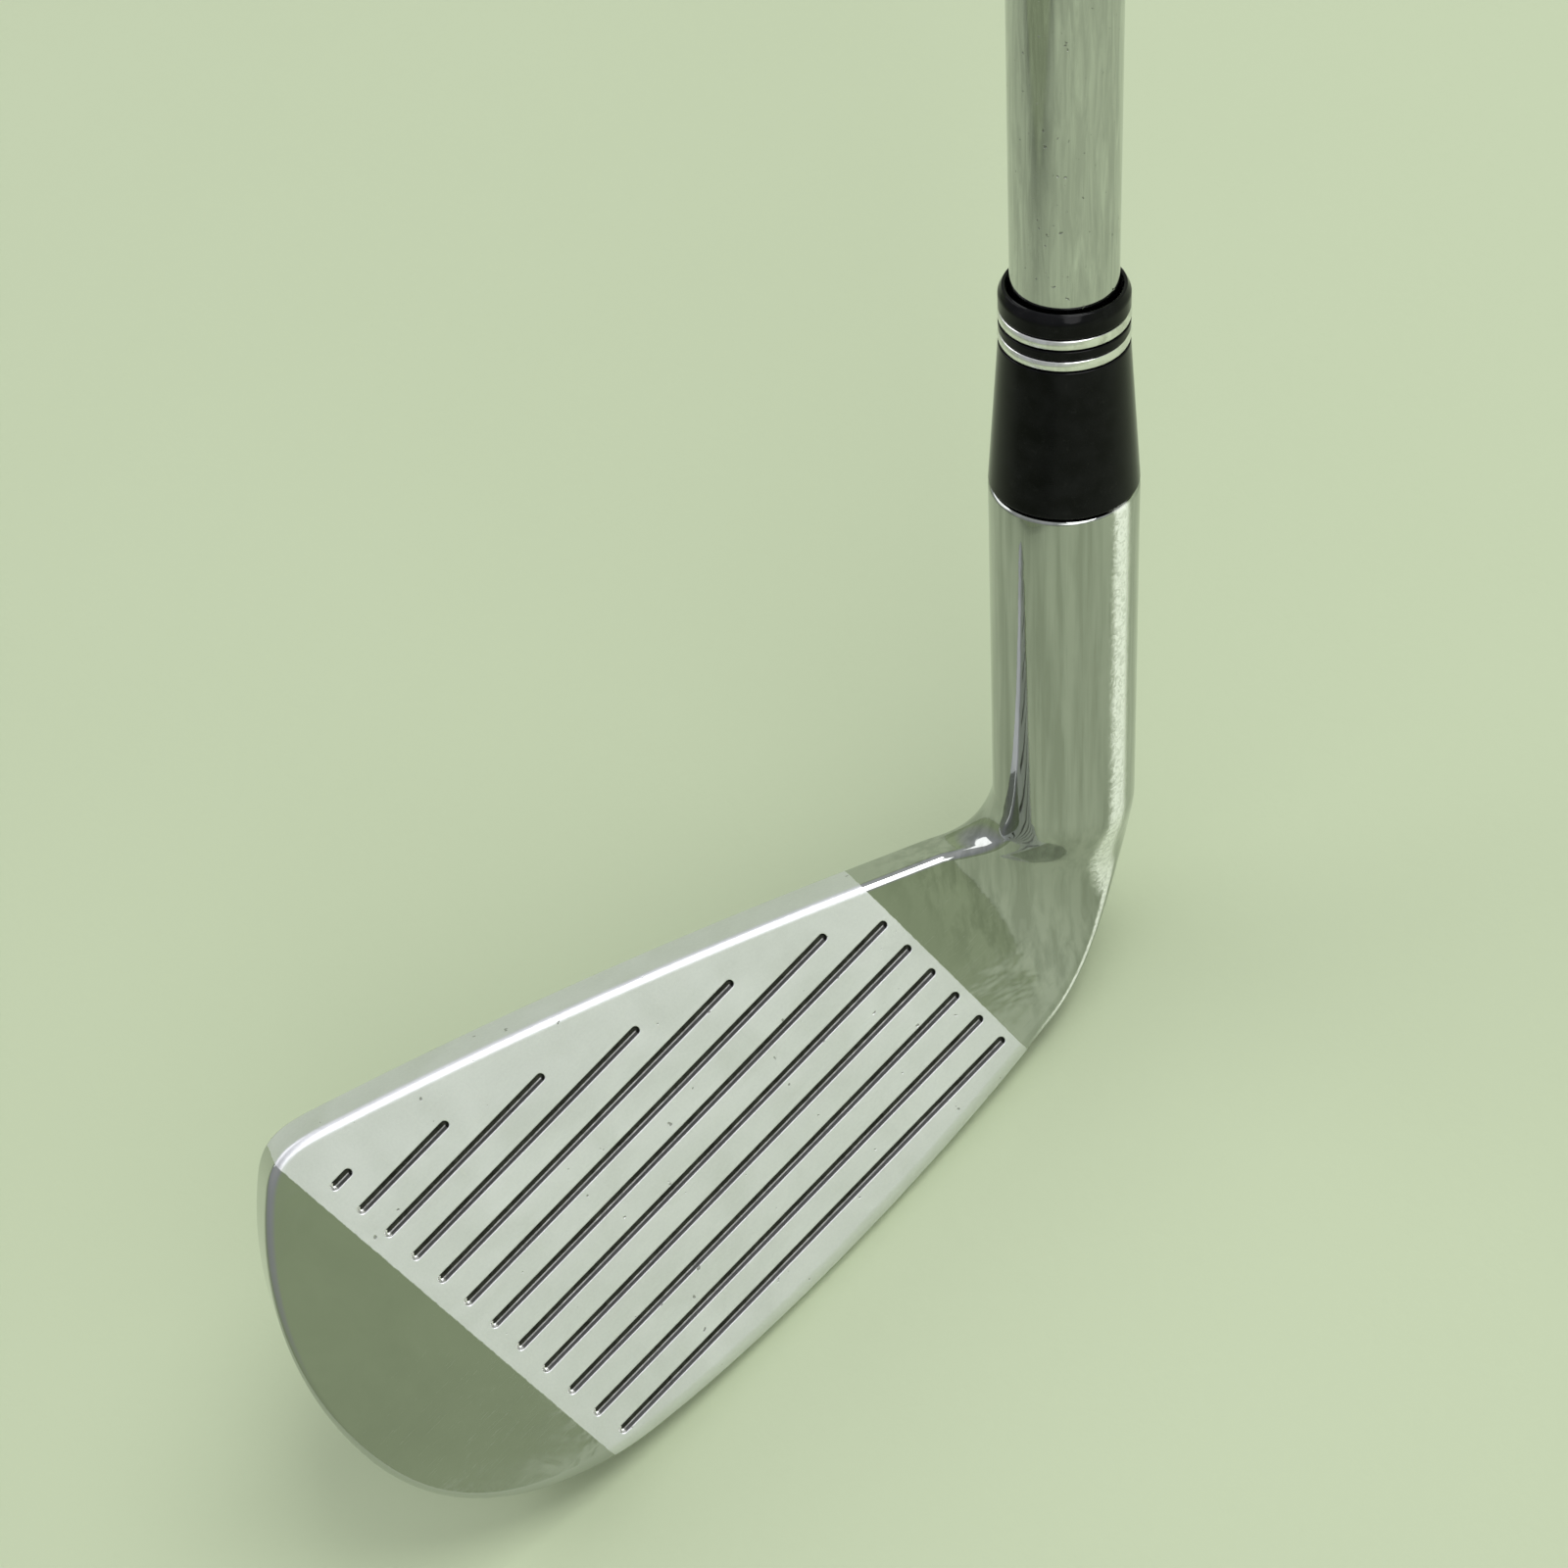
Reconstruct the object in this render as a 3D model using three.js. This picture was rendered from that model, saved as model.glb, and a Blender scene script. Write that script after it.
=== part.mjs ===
// Iron golf club, right-handed, mid iron. Millimetres, +Z up.
//
// Frame: the club stands at address on its sole. +X runs from toe to heel, the face looks
// towards -Y and the shaft rises in a plane of constant Y. The origin is the middle of the
// small flat on the sole that touches the ground.
//
// The clubface has its own frame: u runs from toe to heel along the score lines, v runs up the
// face and n stands out of it. (0, 0, 0) there is the toe end of the lowest score line.
//
// Pieces along the shaft axis are placed by s, the distance along the axis from the height of
// the lowest score line.

import * as THREE from "three";
import { mergeVertices } from "three/addons/utils/BufferGeometryUtils.js";

const { degToRad, lerp, smoothstep } = THREE.MathUtils;

// ---------------------------------------------------------------- driving dimensions

const LOFT = degToRad(27);
const LIE = degToRad(60);
const CLUB_LENGTH = 965;

// blade outline in the face frame
const TOE_POINT = [-17.35, 17.2];
const TOE_PEAK_START = [-4.2, 43.9];
const TOPLINE_START = [4.8, 44.1];
const TOPLINE_END = [54.9, 22.4];
const TOPLINE_FALL = 0.5;
const TOPLINE_REACH = 12;
const LEADING_EDGE_START = [2.1, -2];
const LEADING_EDGE_END = [60, -1.9];

// blade section
const TOPLINE_DEPTH = 6.4;
const TOE_DEPTH = 8;
const FRONT_EDGE_RADIUS = 0.8;
const BACK_EDGE_RADIUS = 1.2;
const MUSCLE_TOP = 0.36;
const MUSCLE_BOTTOM = 0.68;
const MUSCLE_SHARE = 0.7;

// sole: leading edge, camber that falls and then rises towards the back, trailing edge
const LEADING_EDGE_RADIUS = 1.8;
const LEADING_EDGE_LIFT = 0.6 * LEADING_EDGE_RADIUS;
const TRAILING_EDGE_RADIUS = 2.2;
const SOLE_WIDTH_MIDDLE = 14.5;
const SOLE_WIDTH_HEEL = 9;
const SOLE_FALL = degToRad(6);
const SOLE_RISE = degToRad(15);
const SOLE_FLAT_CUT = 0.1;
const SOLE_FLAT_U = 28;

// hosel and the fillets that join it to the blade
const HOSEL_RADIUS = 6.75;
const HOSEL_TOP = 56.4;
const HOSEL_CHAMFER = 0.4;
const BORE_RADIUS = 5.05;
const BORE_BOTTOM = 21.5;
const AXIS_U = 64.78;
const AXIS_BEHIND = 4.75;
const CROTCH_RADIUS = 6;
const HEEL_RADIUS = 26;
const HEEL_BOTTOM = -5;
const FOOT_START = degToRad(-15);

// score lines
const SCORE_COUNT = 12;
const SCORE_PITCH = 3.6;
const SCORE_WIDTH = 0.9;
const SCORE_DEPTH = 0.4;
const SCORE_FULL_LENGTH = 54;
const SCORE_FIRST_LENGTH = 2.6;
const SCORE_LENGTH_STEP = 9.3;

// shaft: taper tip, steps, butt
const SHAFT_TIP = 25;
const SHAFT_TIP_RADIUS = 4.51;
const TAPER_LENGTH = 95;
const TAPER_RISE = 0.36;
const SHAFT_WALL = 0.45;
const FIRST_STEP = 250;
const STEP_COUNT = 12;
const STEP_PITCH = 38;
const STEP_SLOPE_LENGTH = 2.5;
const BUTT_RADIUS = 7.62;

// tip weight and the pool of epoxy under the shaft's tip
const WEIGHT_LENGTH = 14;
const EPOXY_HEIGHT = 2.6;

// ferrule, measured up from its lower end
const FERRULE_LENGTH = 20;
const FERRULE_BORE = 5.05;
const FERRULE_TOP_RADIUS = 5.72;
const CAP_CHAMFER = 0.7;
const RING_RADIUS = 5.8;
const RING_HEIGHT = 0.95;
const RING_LOWER = 14.65;
const RING_UPPER = 16.75;
const STACK_GAP = 0.15;

// grip
const GRIP_LENGTH = 267;
const GRIP_MOUTH_RADIUS = 9.7;
const GRIP_BUTT_RADIUS = 13.1;
const GRIP_BORE_RADIUS = 8.45;
const GRIP_LIP_LENGTH = 3;
const TAPE_THICKNESS = 0.2;
const TAPE_MARGIN = 5;
const END_CAP_HEIGHT = 7;
const END_CAP_RADIUS = 13.6;
const END_CAP_FACE_RADIUS = 11.2;
const VENT_RADIUS = 1.6;

// the gap left between pieces that touch
const CLEARANCE = 0.3;

// points closer than this are one vertex
const WELD_DISTANCE = 1e-4;
const BISECT_ROUNDS = 50;

// facets
const TOE_STATIONS = 12;
const TOE_SPAN = 22;
const BLADE_STATIONS = 9;
const FAN_STATIONS = 13;
const FACE_SEGMENTS = 6;
const BACK_SEGMENTS = 12;
// how far down a wall, or across the sole's camber, its points lie; the first two bound the flat
const WALL_POINTS = [0.215, 0.355, 0.7];
const SCORE_END_SEGMENTS = 4;
const ROUND_SEGMENTS = 24;

// where the face, top, back and sole sides start and end once the section is round
const ROUND_CORNERS = [222, 312, 402, 500, 582].map(degToRad);

// ---------------------------------------------------------------- materials

const metal = (color, roughness) => new THREE.MeshStandardMaterial({ color, roughness, metalness: 1 });
const plain = (color, roughness) => new THREE.MeshStandardMaterial({ color, roughness, metalness: 0 });

// ---------------------------------------------------------------- frames

const SHAFT_DIRECTION = new THREE.Vector3(Math.cos(LIE), 0, Math.sin(LIE));
const BACKWARD = new THREE.Vector3(0, 1, 0);
const UPWARD = new THREE.Vector3(0, 0, 1);
const FACE_UP = new THREE.Vector3(0, Math.sin(LOFT), Math.cos(LOFT));
const FACE_OUT = new THREE.Vector3(0, -Math.cos(LOFT), Math.sin(LOFT));

const facePoint = (u, v) => new THREE.Vector3(u, 0, 0).addScaledVector(FACE_UP, v);

// the point of the face plane that lies at x and at height z
const faceAtHeight = (x, z) => new THREE.Vector3(x, z * Math.tan(LOFT), z);

const AXIS_FOOT = new THREE.Vector3(AXIS_U, AXIS_BEHIND, -AXIS_BEHIND * Math.tan(LOFT));

const axisPoint = (s) => AXIS_FOOT.clone().addScaledVector(SHAFT_DIRECTION, s);

const steps = (count, value) => Array.from({ length: count + 1 }, (_, i) => value(i / count));

// the parameter between low and high at which a test turns from true to false
function bisect(low, high, isBelow) {
  let [from, to] = [low, high];
  for (let round = 0; round < BISECT_ROUNDS; round += 1) {
    const middle = (from + to) / 2;
    if (isBelow(middle)) from = middle;
    else to = middle;
  }
  return from;
}

// ---------------------------------------------------------------- blade outline

const bezier = (...points) =>
  new THREE.CubicBezierCurve(...points.map(([u, v]) => new THREE.Vector2(u, v)));

const toplinePast = (distance) => [
  TOPLINE_END[0] + distance,
  TOPLINE_END[1] - distance * TOPLINE_FALL,
];

const topOutline = [
  bezier(TOE_POINT, [-17.35, 28], [-11.8, 37.6], TOE_PEAK_START),
  bezier(TOE_PEAK_START, [-1.27, 46.33], [1.27, 45.41], TOPLINE_START),
  bezier(TOPLINE_START, [22, 37.75], [38.7, 30.5], TOPLINE_END),
  bezier(
    TOPLINE_END,
    toplinePast(TOPLINE_REACH / 3),
    toplinePast((2 * TOPLINE_REACH) / 3),
    toplinePast(TOPLINE_REACH),
  ),
];
const bottomOutline = [
  bezier(TOE_POINT, [-17.35, 6.5], [-9.5, 0], LEADING_EDGE_START),
  bezier(LEADING_EDGE_START, [17.5, -4.55], [42, -4.3], LEADING_EDGE_END),
];

// the outline's point at u and its outward direction; side is 1 for the top and -1 for the bottom
function outlineAt(outline, side, u) {
  const piece = outline.find((candidate) => candidate.v3.x >= u) ?? outline.at(-1);
  const t = bisect(0, 1, (middle) => piece.getPoint(middle).x < u);
  const point = piece.getPoint(t);
  const tangent = piece.getTangent(t);
  return {
    point: facePoint(point.x, point.y),
    out: facePoint(-side * tangent.y, side * tangent.x),
  };
}

// ---------------------------------------------------------------- blade section

// [inset, depth] pairs of a plain edge from the face to the back, with both corners rounded
function edgeProfile(depth) {
  const front = steps(2, (t) => [
    FRONT_EDGE_RADIUS * (1 - Math.sin((t * Math.PI) / 2)),
    FRONT_EDGE_RADIUS * (1 - Math.cos((t * Math.PI) / 2)),
  ]);
  const wallEnd = depth - BACK_EDGE_RADIUS;
  const wall = WALL_POINTS.map((t) => [0, lerp(FRONT_EDGE_RADIUS, wallEnd, t)]);
  const back = steps(3, (t) => [
    BACK_EDGE_RADIUS * (1 - Math.cos((t * Math.PI) / 2)),
    wallEnd + BACK_EDGE_RADIUS * Math.sin((t * Math.PI) / 2),
  ]);
  return [...front, ...wall, ...back];
}

// [backward, upward] pairs of the sole: round the leading edge, over the camber and round the
// trailing edge, measured from the leading edge's foremost line
function soleProfile(width) {
  const onArc = (centre, radius, angle) => [
    centre[0] + radius * Math.cos(angle),
    centre[1] + radius * Math.sin(angle),
  ];
  const down = 1.5 * Math.PI;
  const leading = [
    LEADING_EDGE_LIFT * Math.sin(LOFT) + LEADING_EDGE_RADIUS * Math.cos(LOFT),
    LEADING_EDGE_LIFT * Math.cos(LOFT) - LEADING_EDGE_RADIUS * Math.sin(LOFT),
  ];
  const camberRadius = width / (SOLE_FALL + SOLE_RISE);
  const camber = onArc(leading, camberRadius - LEADING_EDGE_RADIUS, Math.PI / 2 - SOLE_FALL);
  const trailing = onArc(camber, camberRadius - TRAILING_EDGE_RADIUS, down + SOLE_RISE);
  return {
    lowest: [camber[0], camber[1] - camberRadius],
    pairs: [
      ...steps(2, (t) => onArc(leading, LEADING_EDGE_RADIUS, lerp(Math.PI - LOFT, down - SOLE_FALL, t))),
      ...WALL_POINTS.map((t) => onArc(camber, camberRadius, down + lerp(-SOLE_FALL, SOLE_RISE, t))),
      ...steps(3, (t) => onArc(trailing, TRAILING_EDGE_RADIUS, lerp(down + SOLE_RISE, 2 * Math.PI, t))),
    ],
  };
}

// one closed loop round the blade: face, top, back and sole
function bladeLoop({ top, bottom, up, depth, soleWidth, soleShare }) {
  const plainWall = ({ point, out }) =>
    edgeProfile(depth).map(([inset, back]) =>
      point.clone().addScaledVector(out, -inset).addScaledVector(FACE_OUT, -back));
  const topWall = plainWall(top);
  const soleWall = soleProfile(soleWidth).pairs.map(([back, rise]) =>
    bottom.point.clone().addScaledVector(BACKWARD, back).addScaledVector(up, rise));
  const bottomWall = plainWall(bottom).map((point, i) => point.lerp(soleWall[i], soleShare));
  bottomWall[0].addScaledVector(FACE_OUT, -bottomWall[0].dot(FACE_OUT));

  const face = steps(FACE_SEGMENTS, (t) => bottomWall[0].clone().lerp(topWall[0], t));
  const backTop = topWall.at(-1);
  const backBottom = bottomWall.at(-1);
  const growth = backTop.clone().sub(backBottom).dot(FACE_OUT);
  const back = steps(BACK_SEGMENTS, (t) => {
    const muscle = MUSCLE_SHARE * smoothstep(t, MUSCLE_TOP, MUSCLE_BOTTOM) + (1 - MUSCLE_SHARE) * t * t;
    return backTop.clone().lerp(backBottom, t).addScaledVector(FACE_OUT, growth * (t - muscle));
  });
  return [face, topWall, back, bottomWall.reverse()];
}

// the same loop as an ellipse about the hosel's axis, with the same points on each of its sides
function roundLoop({ centre, up, height, width, counts }) {
  return counts.map((count, side) =>
    steps(count, (t) => {
      const angle = lerp(ROUND_CORNERS[side], ROUND_CORNERS[side + 1], t);
      return centre.clone()
        .addScaledVector(up, height * Math.cos(angle))
        .addScaledVector(BACKWARD, width * Math.sin(angle));
    }));
}

// ---------------------------------------------------------------- hosel fan

// Planes that turn about the centre of the crotch fillet carry the blade's section round to the
// hosel's. The pivot is CROTCH_RADIUS from the topline and from the hosel's near side.
const cross = (a, b) => a.x * b.y - a.y * b.x;

function meet(pointA, directionA, pointB, directionB) {
  const t = cross(pointB.clone().sub(pointA), directionB) / cross(directionA, directionB);
  return pointA.clone().addScaledVector(directionA, t);
}

const along = (angle) => new THREE.Vector2(Math.cos(angle), Math.sin(angle));
const flat = (vector) => new THREE.Vector2(vector.x, vector.z);

const FAN_START = -Math.atan(TOPLINE_FALL * Math.cos(LOFT));
const fanDown = (angle) => along(angle - Math.PI / 2);

const toplineFlat = flat(facePoint(...TOPLINE_END)).addScaledVector(fanDown(FAN_START), -CROTCH_RADIUS);
const nearSideFlat = flat(AXIS_FOOT).addScaledVector(fanDown(LIE), -HOSEL_RADIUS - CROTCH_RADIUS);
const PIVOT = meet(toplineFlat, along(FAN_START), nearSideFlat, along(LIE));

const farSideFlat = flat(AXIS_FOOT).addScaledVector(fanDown(LIE), HOSEL_RADIUS - HEEL_RADIUS);
const heelLevel = new THREE.Vector2(0, HEEL_BOTTOM + HEEL_RADIUS);
const HEEL_CENTRE = meet(farSideFlat, along(LIE), heelLevel, along(0));

// distance from the pivot to the heel's outer side: sole, rounded heel, hosel
function heelReach(angle) {
  const down = fanDown(angle);
  const toSole = (PIVOT.y - HEEL_BOTTOM) / -down.y;
  if (PIVOT.x + down.x * toSole <= HEEL_CENTRE.x) return toSole;
  const offset = PIVOT.clone().sub(HEEL_CENTRE);
  const half = offset.dot(down);
  const toArc = -half + Math.sqrt(half * half - offset.lengthSq() + HEEL_RADIUS * HEEL_RADIUS);
  const turned = PIVOT.clone().addScaledVector(down, toArc).sub(HEEL_CENTRE).angle() - 2 * Math.PI;
  if (turned <= LIE - Math.PI / 2) return toArc;
  return (CROTCH_RADIUS + 2 * HOSEL_RADIUS) / Math.cos(LIE - angle);
}

// ---------------------------------------------------------------- head

const fanFootU = bisect(0, LEADING_EDGE_END[0], (u) => {
  const foot = flat(outlineAt(bottomOutline, -1, u).point).sub(PIVOT);
  return cross(fanDown(FOOT_START), foot) < 0;
});
const fanFoot = flat(outlineAt(bottomOutline, -1, fanFootU).point).distanceTo(PIVOT);
const fanHeadU = PIVOT.x + CROTCH_RADIUS * fanDown(FAN_START).x;
const edgeRise = heelReach(FOOT_START) - fanFoot;
const heelShare = (u) => smoothstep(u, SOLE_FLAT_U, fanFootU);

function bladeStation(u) {
  const lean = Math.max(0, (u - SOLE_FLAT_U) / (fanFootU - SOLE_FLAT_U)) ** 2;
  const top = outlineAt(topOutline, 1, u + lean * (fanHeadU - fanFootU));
  const bottom = outlineAt(bottomOutline, -1, u);
  return bladeLoop({
    top,
    bottom,
    up: UPWARD.clone().applyAxisAngle(BACKWARD, -FOOT_START * lean),
    depth: lerp(TOE_DEPTH, TOPLINE_DEPTH, smoothstep(u, TOE_POINT[0], TOPLINE_START[0])),
    soleWidth: lerp(SOLE_WIDTH_MIDDLE, (SOLE_WIDTH_MIDDLE + SOLE_WIDTH_HEEL) / 2, heelShare(u)),
    soleShare: smoothstep(u, TOE_POINT[0], LEADING_EDGE_START[0]),
  });
}

// the first section closes on itself, as the line where the toe's upper and lower walls meet
function toeStation() {
  const [face, top, back] = bladeStation(TOE_POINT[0]);
  return [face.map(() => top[0]), top, back.map(() => top.at(-1)), [...top].reverse()];
}

function fanStation(t) {
  const crotch = PIVOT.clone().addScaledVector(fanDown(lerp(FAN_START, LIE, t)), CROTCH_RADIUS);
  const footAngle = lerp(FOOT_START, LIE, t);
  const reach = heelReach(footAngle);
  const heelPoint = PIVOT.clone().addScaledVector(fanDown(footAngle), reach);
  const edgePoint = PIVOT.clone().addScaledVector(fanDown(footAngle), reach - edgeRise);
  const lean = crotch.clone().sub(heelPoint).normalize();
  const up = new THREE.Vector3(lean.x, 0, lean.y);
  const out = faceAtHeight(lean.x, lean.y).normalize();
  const blade = bladeLoop({
    top: { point: faceAtHeight(crotch.x, crotch.y), out },
    bottom: { point: faceAtHeight(edgePoint.x, edgePoint.y), out: out.clone().negate() },
    up,
    depth: TOPLINE_DEPTH,
    soleWidth: lerp((SOLE_WIDTH_MIDDLE + SOLE_WIDTH_HEEL) / 2, SOLE_WIDTH_HEEL, t),
    soleShare: 1,
  });
  const middle = crotch.clone().lerp(heelPoint, 0.5);
  const round = roundLoop({
    centre: new THREE.Vector3(middle.x, AXIS_BEHIND, middle.y),
    up,
    height: crotch.distanceTo(heelPoint) / 2,
    width: HOSEL_RADIUS,
    counts: blade.map((side) => side.length - 1),
  });
  const share = smoothstep(t, 0, 1);
  return blade.map((side, i) => side.map((point, j) => point.lerp(round[i][j], share)));
}

function hoselRing(s, radius, counts) {
  const up = new THREE.Vector3(-Math.sin(LIE), 0, Math.cos(LIE));
  return roundLoop({ centre: axisPoint(s), up, height: radius, width: radius, counts });
}

// welds shared vertices, drops collapsed triangles and turns the faces outward
function closed(geometry) {
  geometry.deleteAttribute("normal");
  geometry.deleteAttribute("uv");
  geometry.clearGroups();
  const welded = mergeVertices(geometry, WELD_DISTANCE);
  const position = welded.getAttribute("position");
  const corner = [0, 1, 2].map(() => new THREE.Vector3());
  const kept = [];
  let volume = 0;
  for (let i = 0; i < welded.index.count; i += 3) {
    const triangle = [0, 1, 2].map((j) => welded.index.getX(i + j));
    if (new Set(triangle).size < 3) continue;
    triangle.forEach((vertex, j) => corner[j].fromBufferAttribute(position, vertex));
    volume += corner[0].dot(corner[1].cross(corner[2]));
    kept.push(triangle);
  }
  welded.setIndex(kept.flatMap((triangle) => (volume < 0 ? triangle.reverse() : triangle)));
  return welded;
}

const put = (positions, ...points) => points.forEach((point) => positions.push(point.x, point.y, point.z));

// the walls between neighbouring sections; the flat face is left out up to section flatEnd
function skin(positions, sections, flatEnd) {
  for (let i = 1; i < sections.length; i += 1) {
    sections[i].forEach((far, side) => {
      if (side === 0 && i <= flatEnd) return;
      const near = sections[i - 1][side];
      for (let j = 1; j < far.length; j += 1) {
        put(positions, near[j - 1], far[j - 1], far[j]);
        put(positions, near[j - 1], far[j], near[j]);
      }
    });
  }
}

// the outline of one score line, counted from the top, as points in (u, v)
function scoreOutline(index) {
  const length = Math.min(SCORE_FULL_LENGTH, SCORE_FIRST_LENGTH + index * SCORE_LENGTH_STEP);
  const v = (SCORE_COUNT - 1 - index) * SCORE_PITCH;
  const radius = SCORE_WIDTH / 2;
  const shape = new THREE.Shape();
  shape.absarc(radius, v, radius, Math.PI / 2, 1.5 * Math.PI, false);
  shape.absarc(length - radius, v, radius, -Math.PI / 2, Math.PI / 2, false);
  return shape.getPoints(SCORE_END_SEGMENTS);
}

// the flat face with the score lines sunk into it
function scoredFace(positions, outline) {
  const holes = Array.from({ length: SCORE_COUNT }, (_, index) => scoreOutline(index));
  const lift = (point, depth) => facePoint(point.x, point.y).addScaledVector(FACE_OUT, -depth);
  const cap = (contour, openings, depth) => {
    const points = [contour, ...openings].flat();
    THREE.ShapeUtils.triangulateShape(contour, openings).forEach((triangle) => {
      put(positions, ...triangle.map((vertex) => lift(points[vertex], depth)));
    });
  };
  cap(outline, holes, 0);
  holes.forEach((hole) => {
    cap(hole, [], SCORE_DEPTH);
    hole.forEach((point, i) => {
      const next = hole[(i + 1) % hole.length];
      put(positions, lift(point, 0), lift(next, SCORE_DEPTH), lift(point, SCORE_DEPTH));
      put(positions, lift(point, 0), lift(next, 0), lift(next, SCORE_DEPTH));
    });
  });
}

const middleSole = outlineAt(bottomOutline, -1, SOLE_FLAT_U).point;
const lowestSole = soleProfile(SOLE_WIDTH_MIDDLE).lowest;
const ORIGIN = new THREE.Vector3(
  SOLE_FLAT_U,
  middleSole.y + lowestSole[0],
  middleSole.z + lowestSole[1] + SOLE_FLAT_CUT,
);

function headGeometry() {
  const toe = steps(TOE_STATIONS, (t) => TOE_POINT[0] + TOE_SPAN * (1 - Math.cos((t * Math.PI) / 2)));
  const blade = steps(BLADE_STATIONS, (t) => lerp(TOE_POINT[0] + TOE_SPAN, fanFootU, t));
  const flatEnd = TOE_STATIONS + BLADE_STATIONS;
  const sections = [
    toeStation(),
    ...[...toe.slice(1), ...blade.slice(1)].map(bladeStation),
    ...steps(FAN_STATIONS, fanStation).slice(1),
  ];
  const counts = sections[0].map((side) => side.length - 1);
  const rings = [
    [HOSEL_TOP - HOSEL_CHAMFER, HOSEL_RADIUS],
    [HOSEL_TOP, HOSEL_RADIUS - HOSEL_CHAMFER],
    [HOSEL_TOP, BORE_RADIUS],
    [BORE_BOTTOM, BORE_RADIUS],
    [BORE_BOTTOM, 0],
  ];
  sections.push(...rings.map(([s, radius]) => hoselRing(s, radius, counts)));
  sections.flat(2).forEach((point) => {
    point.z = Math.max(point.z, ORIGIN.z);
  });

  const faceSides = sections.slice(0, flatEnd + 1).map((section) => section[0]);
  const outline = [
    ...faceSides.map((side) => side[0]),
    ...faceSides.at(-1).slice(1),
    ...faceSides.slice(1, -1).reverse().map((side) => side.at(-1)),
  ].map((point) => new THREE.Vector2(point.x, point.dot(FACE_UP)));
  const positions = [];
  skin(positions, sections, flatEnd);
  scoredFace(positions, outline);
  const geometry = new THREE.BufferGeometry();
  geometry.setAttribute("position", new THREE.Float32BufferAttribute(positions, 3));
  return closed(geometry);
}

// ---------------------------------------------------------------- pieces turned about the axis

const club = new THREE.Group();
const axisGroup = new THREE.Group();
axisGroup.position.copy(AXIS_FOOT).sub(ORIGIN);
axisGroup.quaternion.setFromUnitVectors(BACKWARD, SHAFT_DIRECTION);
club.add(axisGroup);

function addPiece(parent, name, geometry, material) {
  const mesh = new THREE.Mesh(geometry, material);
  mesh.name = name;
  parent.add(mesh);
}

// profile is a list of [radius, s]; a ring's profile closes on itself
function addTurned(name, profile, material, isRing = true) {
  const points = isRing ? [...profile, profile[0]] : profile;
  const outline = points.map(([radius, s]) => new THREE.Vector2(radius, s));
  addPiece(axisGroup, name, closed(new THREE.LatheGeometry(outline, ROUND_SEGMENTS)), material);
}

const CLUB_END = CLUB_LENGTH + (ORIGIN.z - AXIS_FOOT.z) / Math.sin(LIE);
const SHAFT_BUTT = CLUB_END - END_CAP_HEIGHT - CLEARANCE;
const GRIP_MOUTH = CLUB_END - GRIP_LENGTH;

function shaftProfile() {
  const plainRadius = SHAFT_TIP_RADIUS + TAPER_RISE;
  const stepHeight = (BUTT_RADIUS - plainRadius) / STEP_COUNT;
  const outside = [[SHAFT_TIP_RADIUS, SHAFT_TIP], [plainRadius, SHAFT_TIP + TAPER_LENGTH]];
  for (let i = 0; i < STEP_COUNT; i += 1) {
    const s = FIRST_STEP + i * STEP_PITCH;
    outside.push([plainRadius + i * stepHeight, s]);
    outside.push([plainRadius + (i + 1) * stepHeight, s + STEP_SLOPE_LENGTH]);
  }
  outside.push([BUTT_RADIUS, SHAFT_BUTT]);
  const lastStep = FIRST_STEP + (STEP_COUNT - 1) * STEP_PITCH;
  return [
    ...outside,
    [BUTT_RADIUS - SHAFT_WALL, SHAFT_BUTT],
    [BUTT_RADIUS - SHAFT_WALL, lastStep],
    [plainRadius - SHAFT_WALL, FIRST_STEP - STEP_PITCH],
    [SHAFT_TIP_RADIUS - SHAFT_WALL, SHAFT_TIP],
  ];
}

function addShaft() {
  addTurned("shaft", shaftProfile(), metal(0xc9ccd0, 0.12));

  const weightRadius = SHAFT_TIP_RADIUS - SHAFT_WALL - CLEARANCE;
  const weightBottom = SHAFT_TIP + CLEARANCE;
  addTurned("tip_weight", [
    [0, weightBottom],
    [weightRadius, weightBottom],
    [weightRadius, weightBottom + WEIGHT_LENGTH],
    [0, weightBottom + WEIGHT_LENGTH],
  ], metal(0xb59a5a, 0.35), false);

  const epoxyBottom = BORE_BOTTOM + CLEARANCE;
  addTurned("epoxy_plug", [
    [0, epoxyBottom],
    [BORE_RADIUS - CLEARANCE, epoxyBottom],
    [BORE_RADIUS - CLEARANCE, epoxyBottom + EPOXY_HEIGHT],
    [0, epoxyBottom + EPOXY_HEIGHT],
  ], plain(0xd8cfae, 0.4), false);
}

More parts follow.
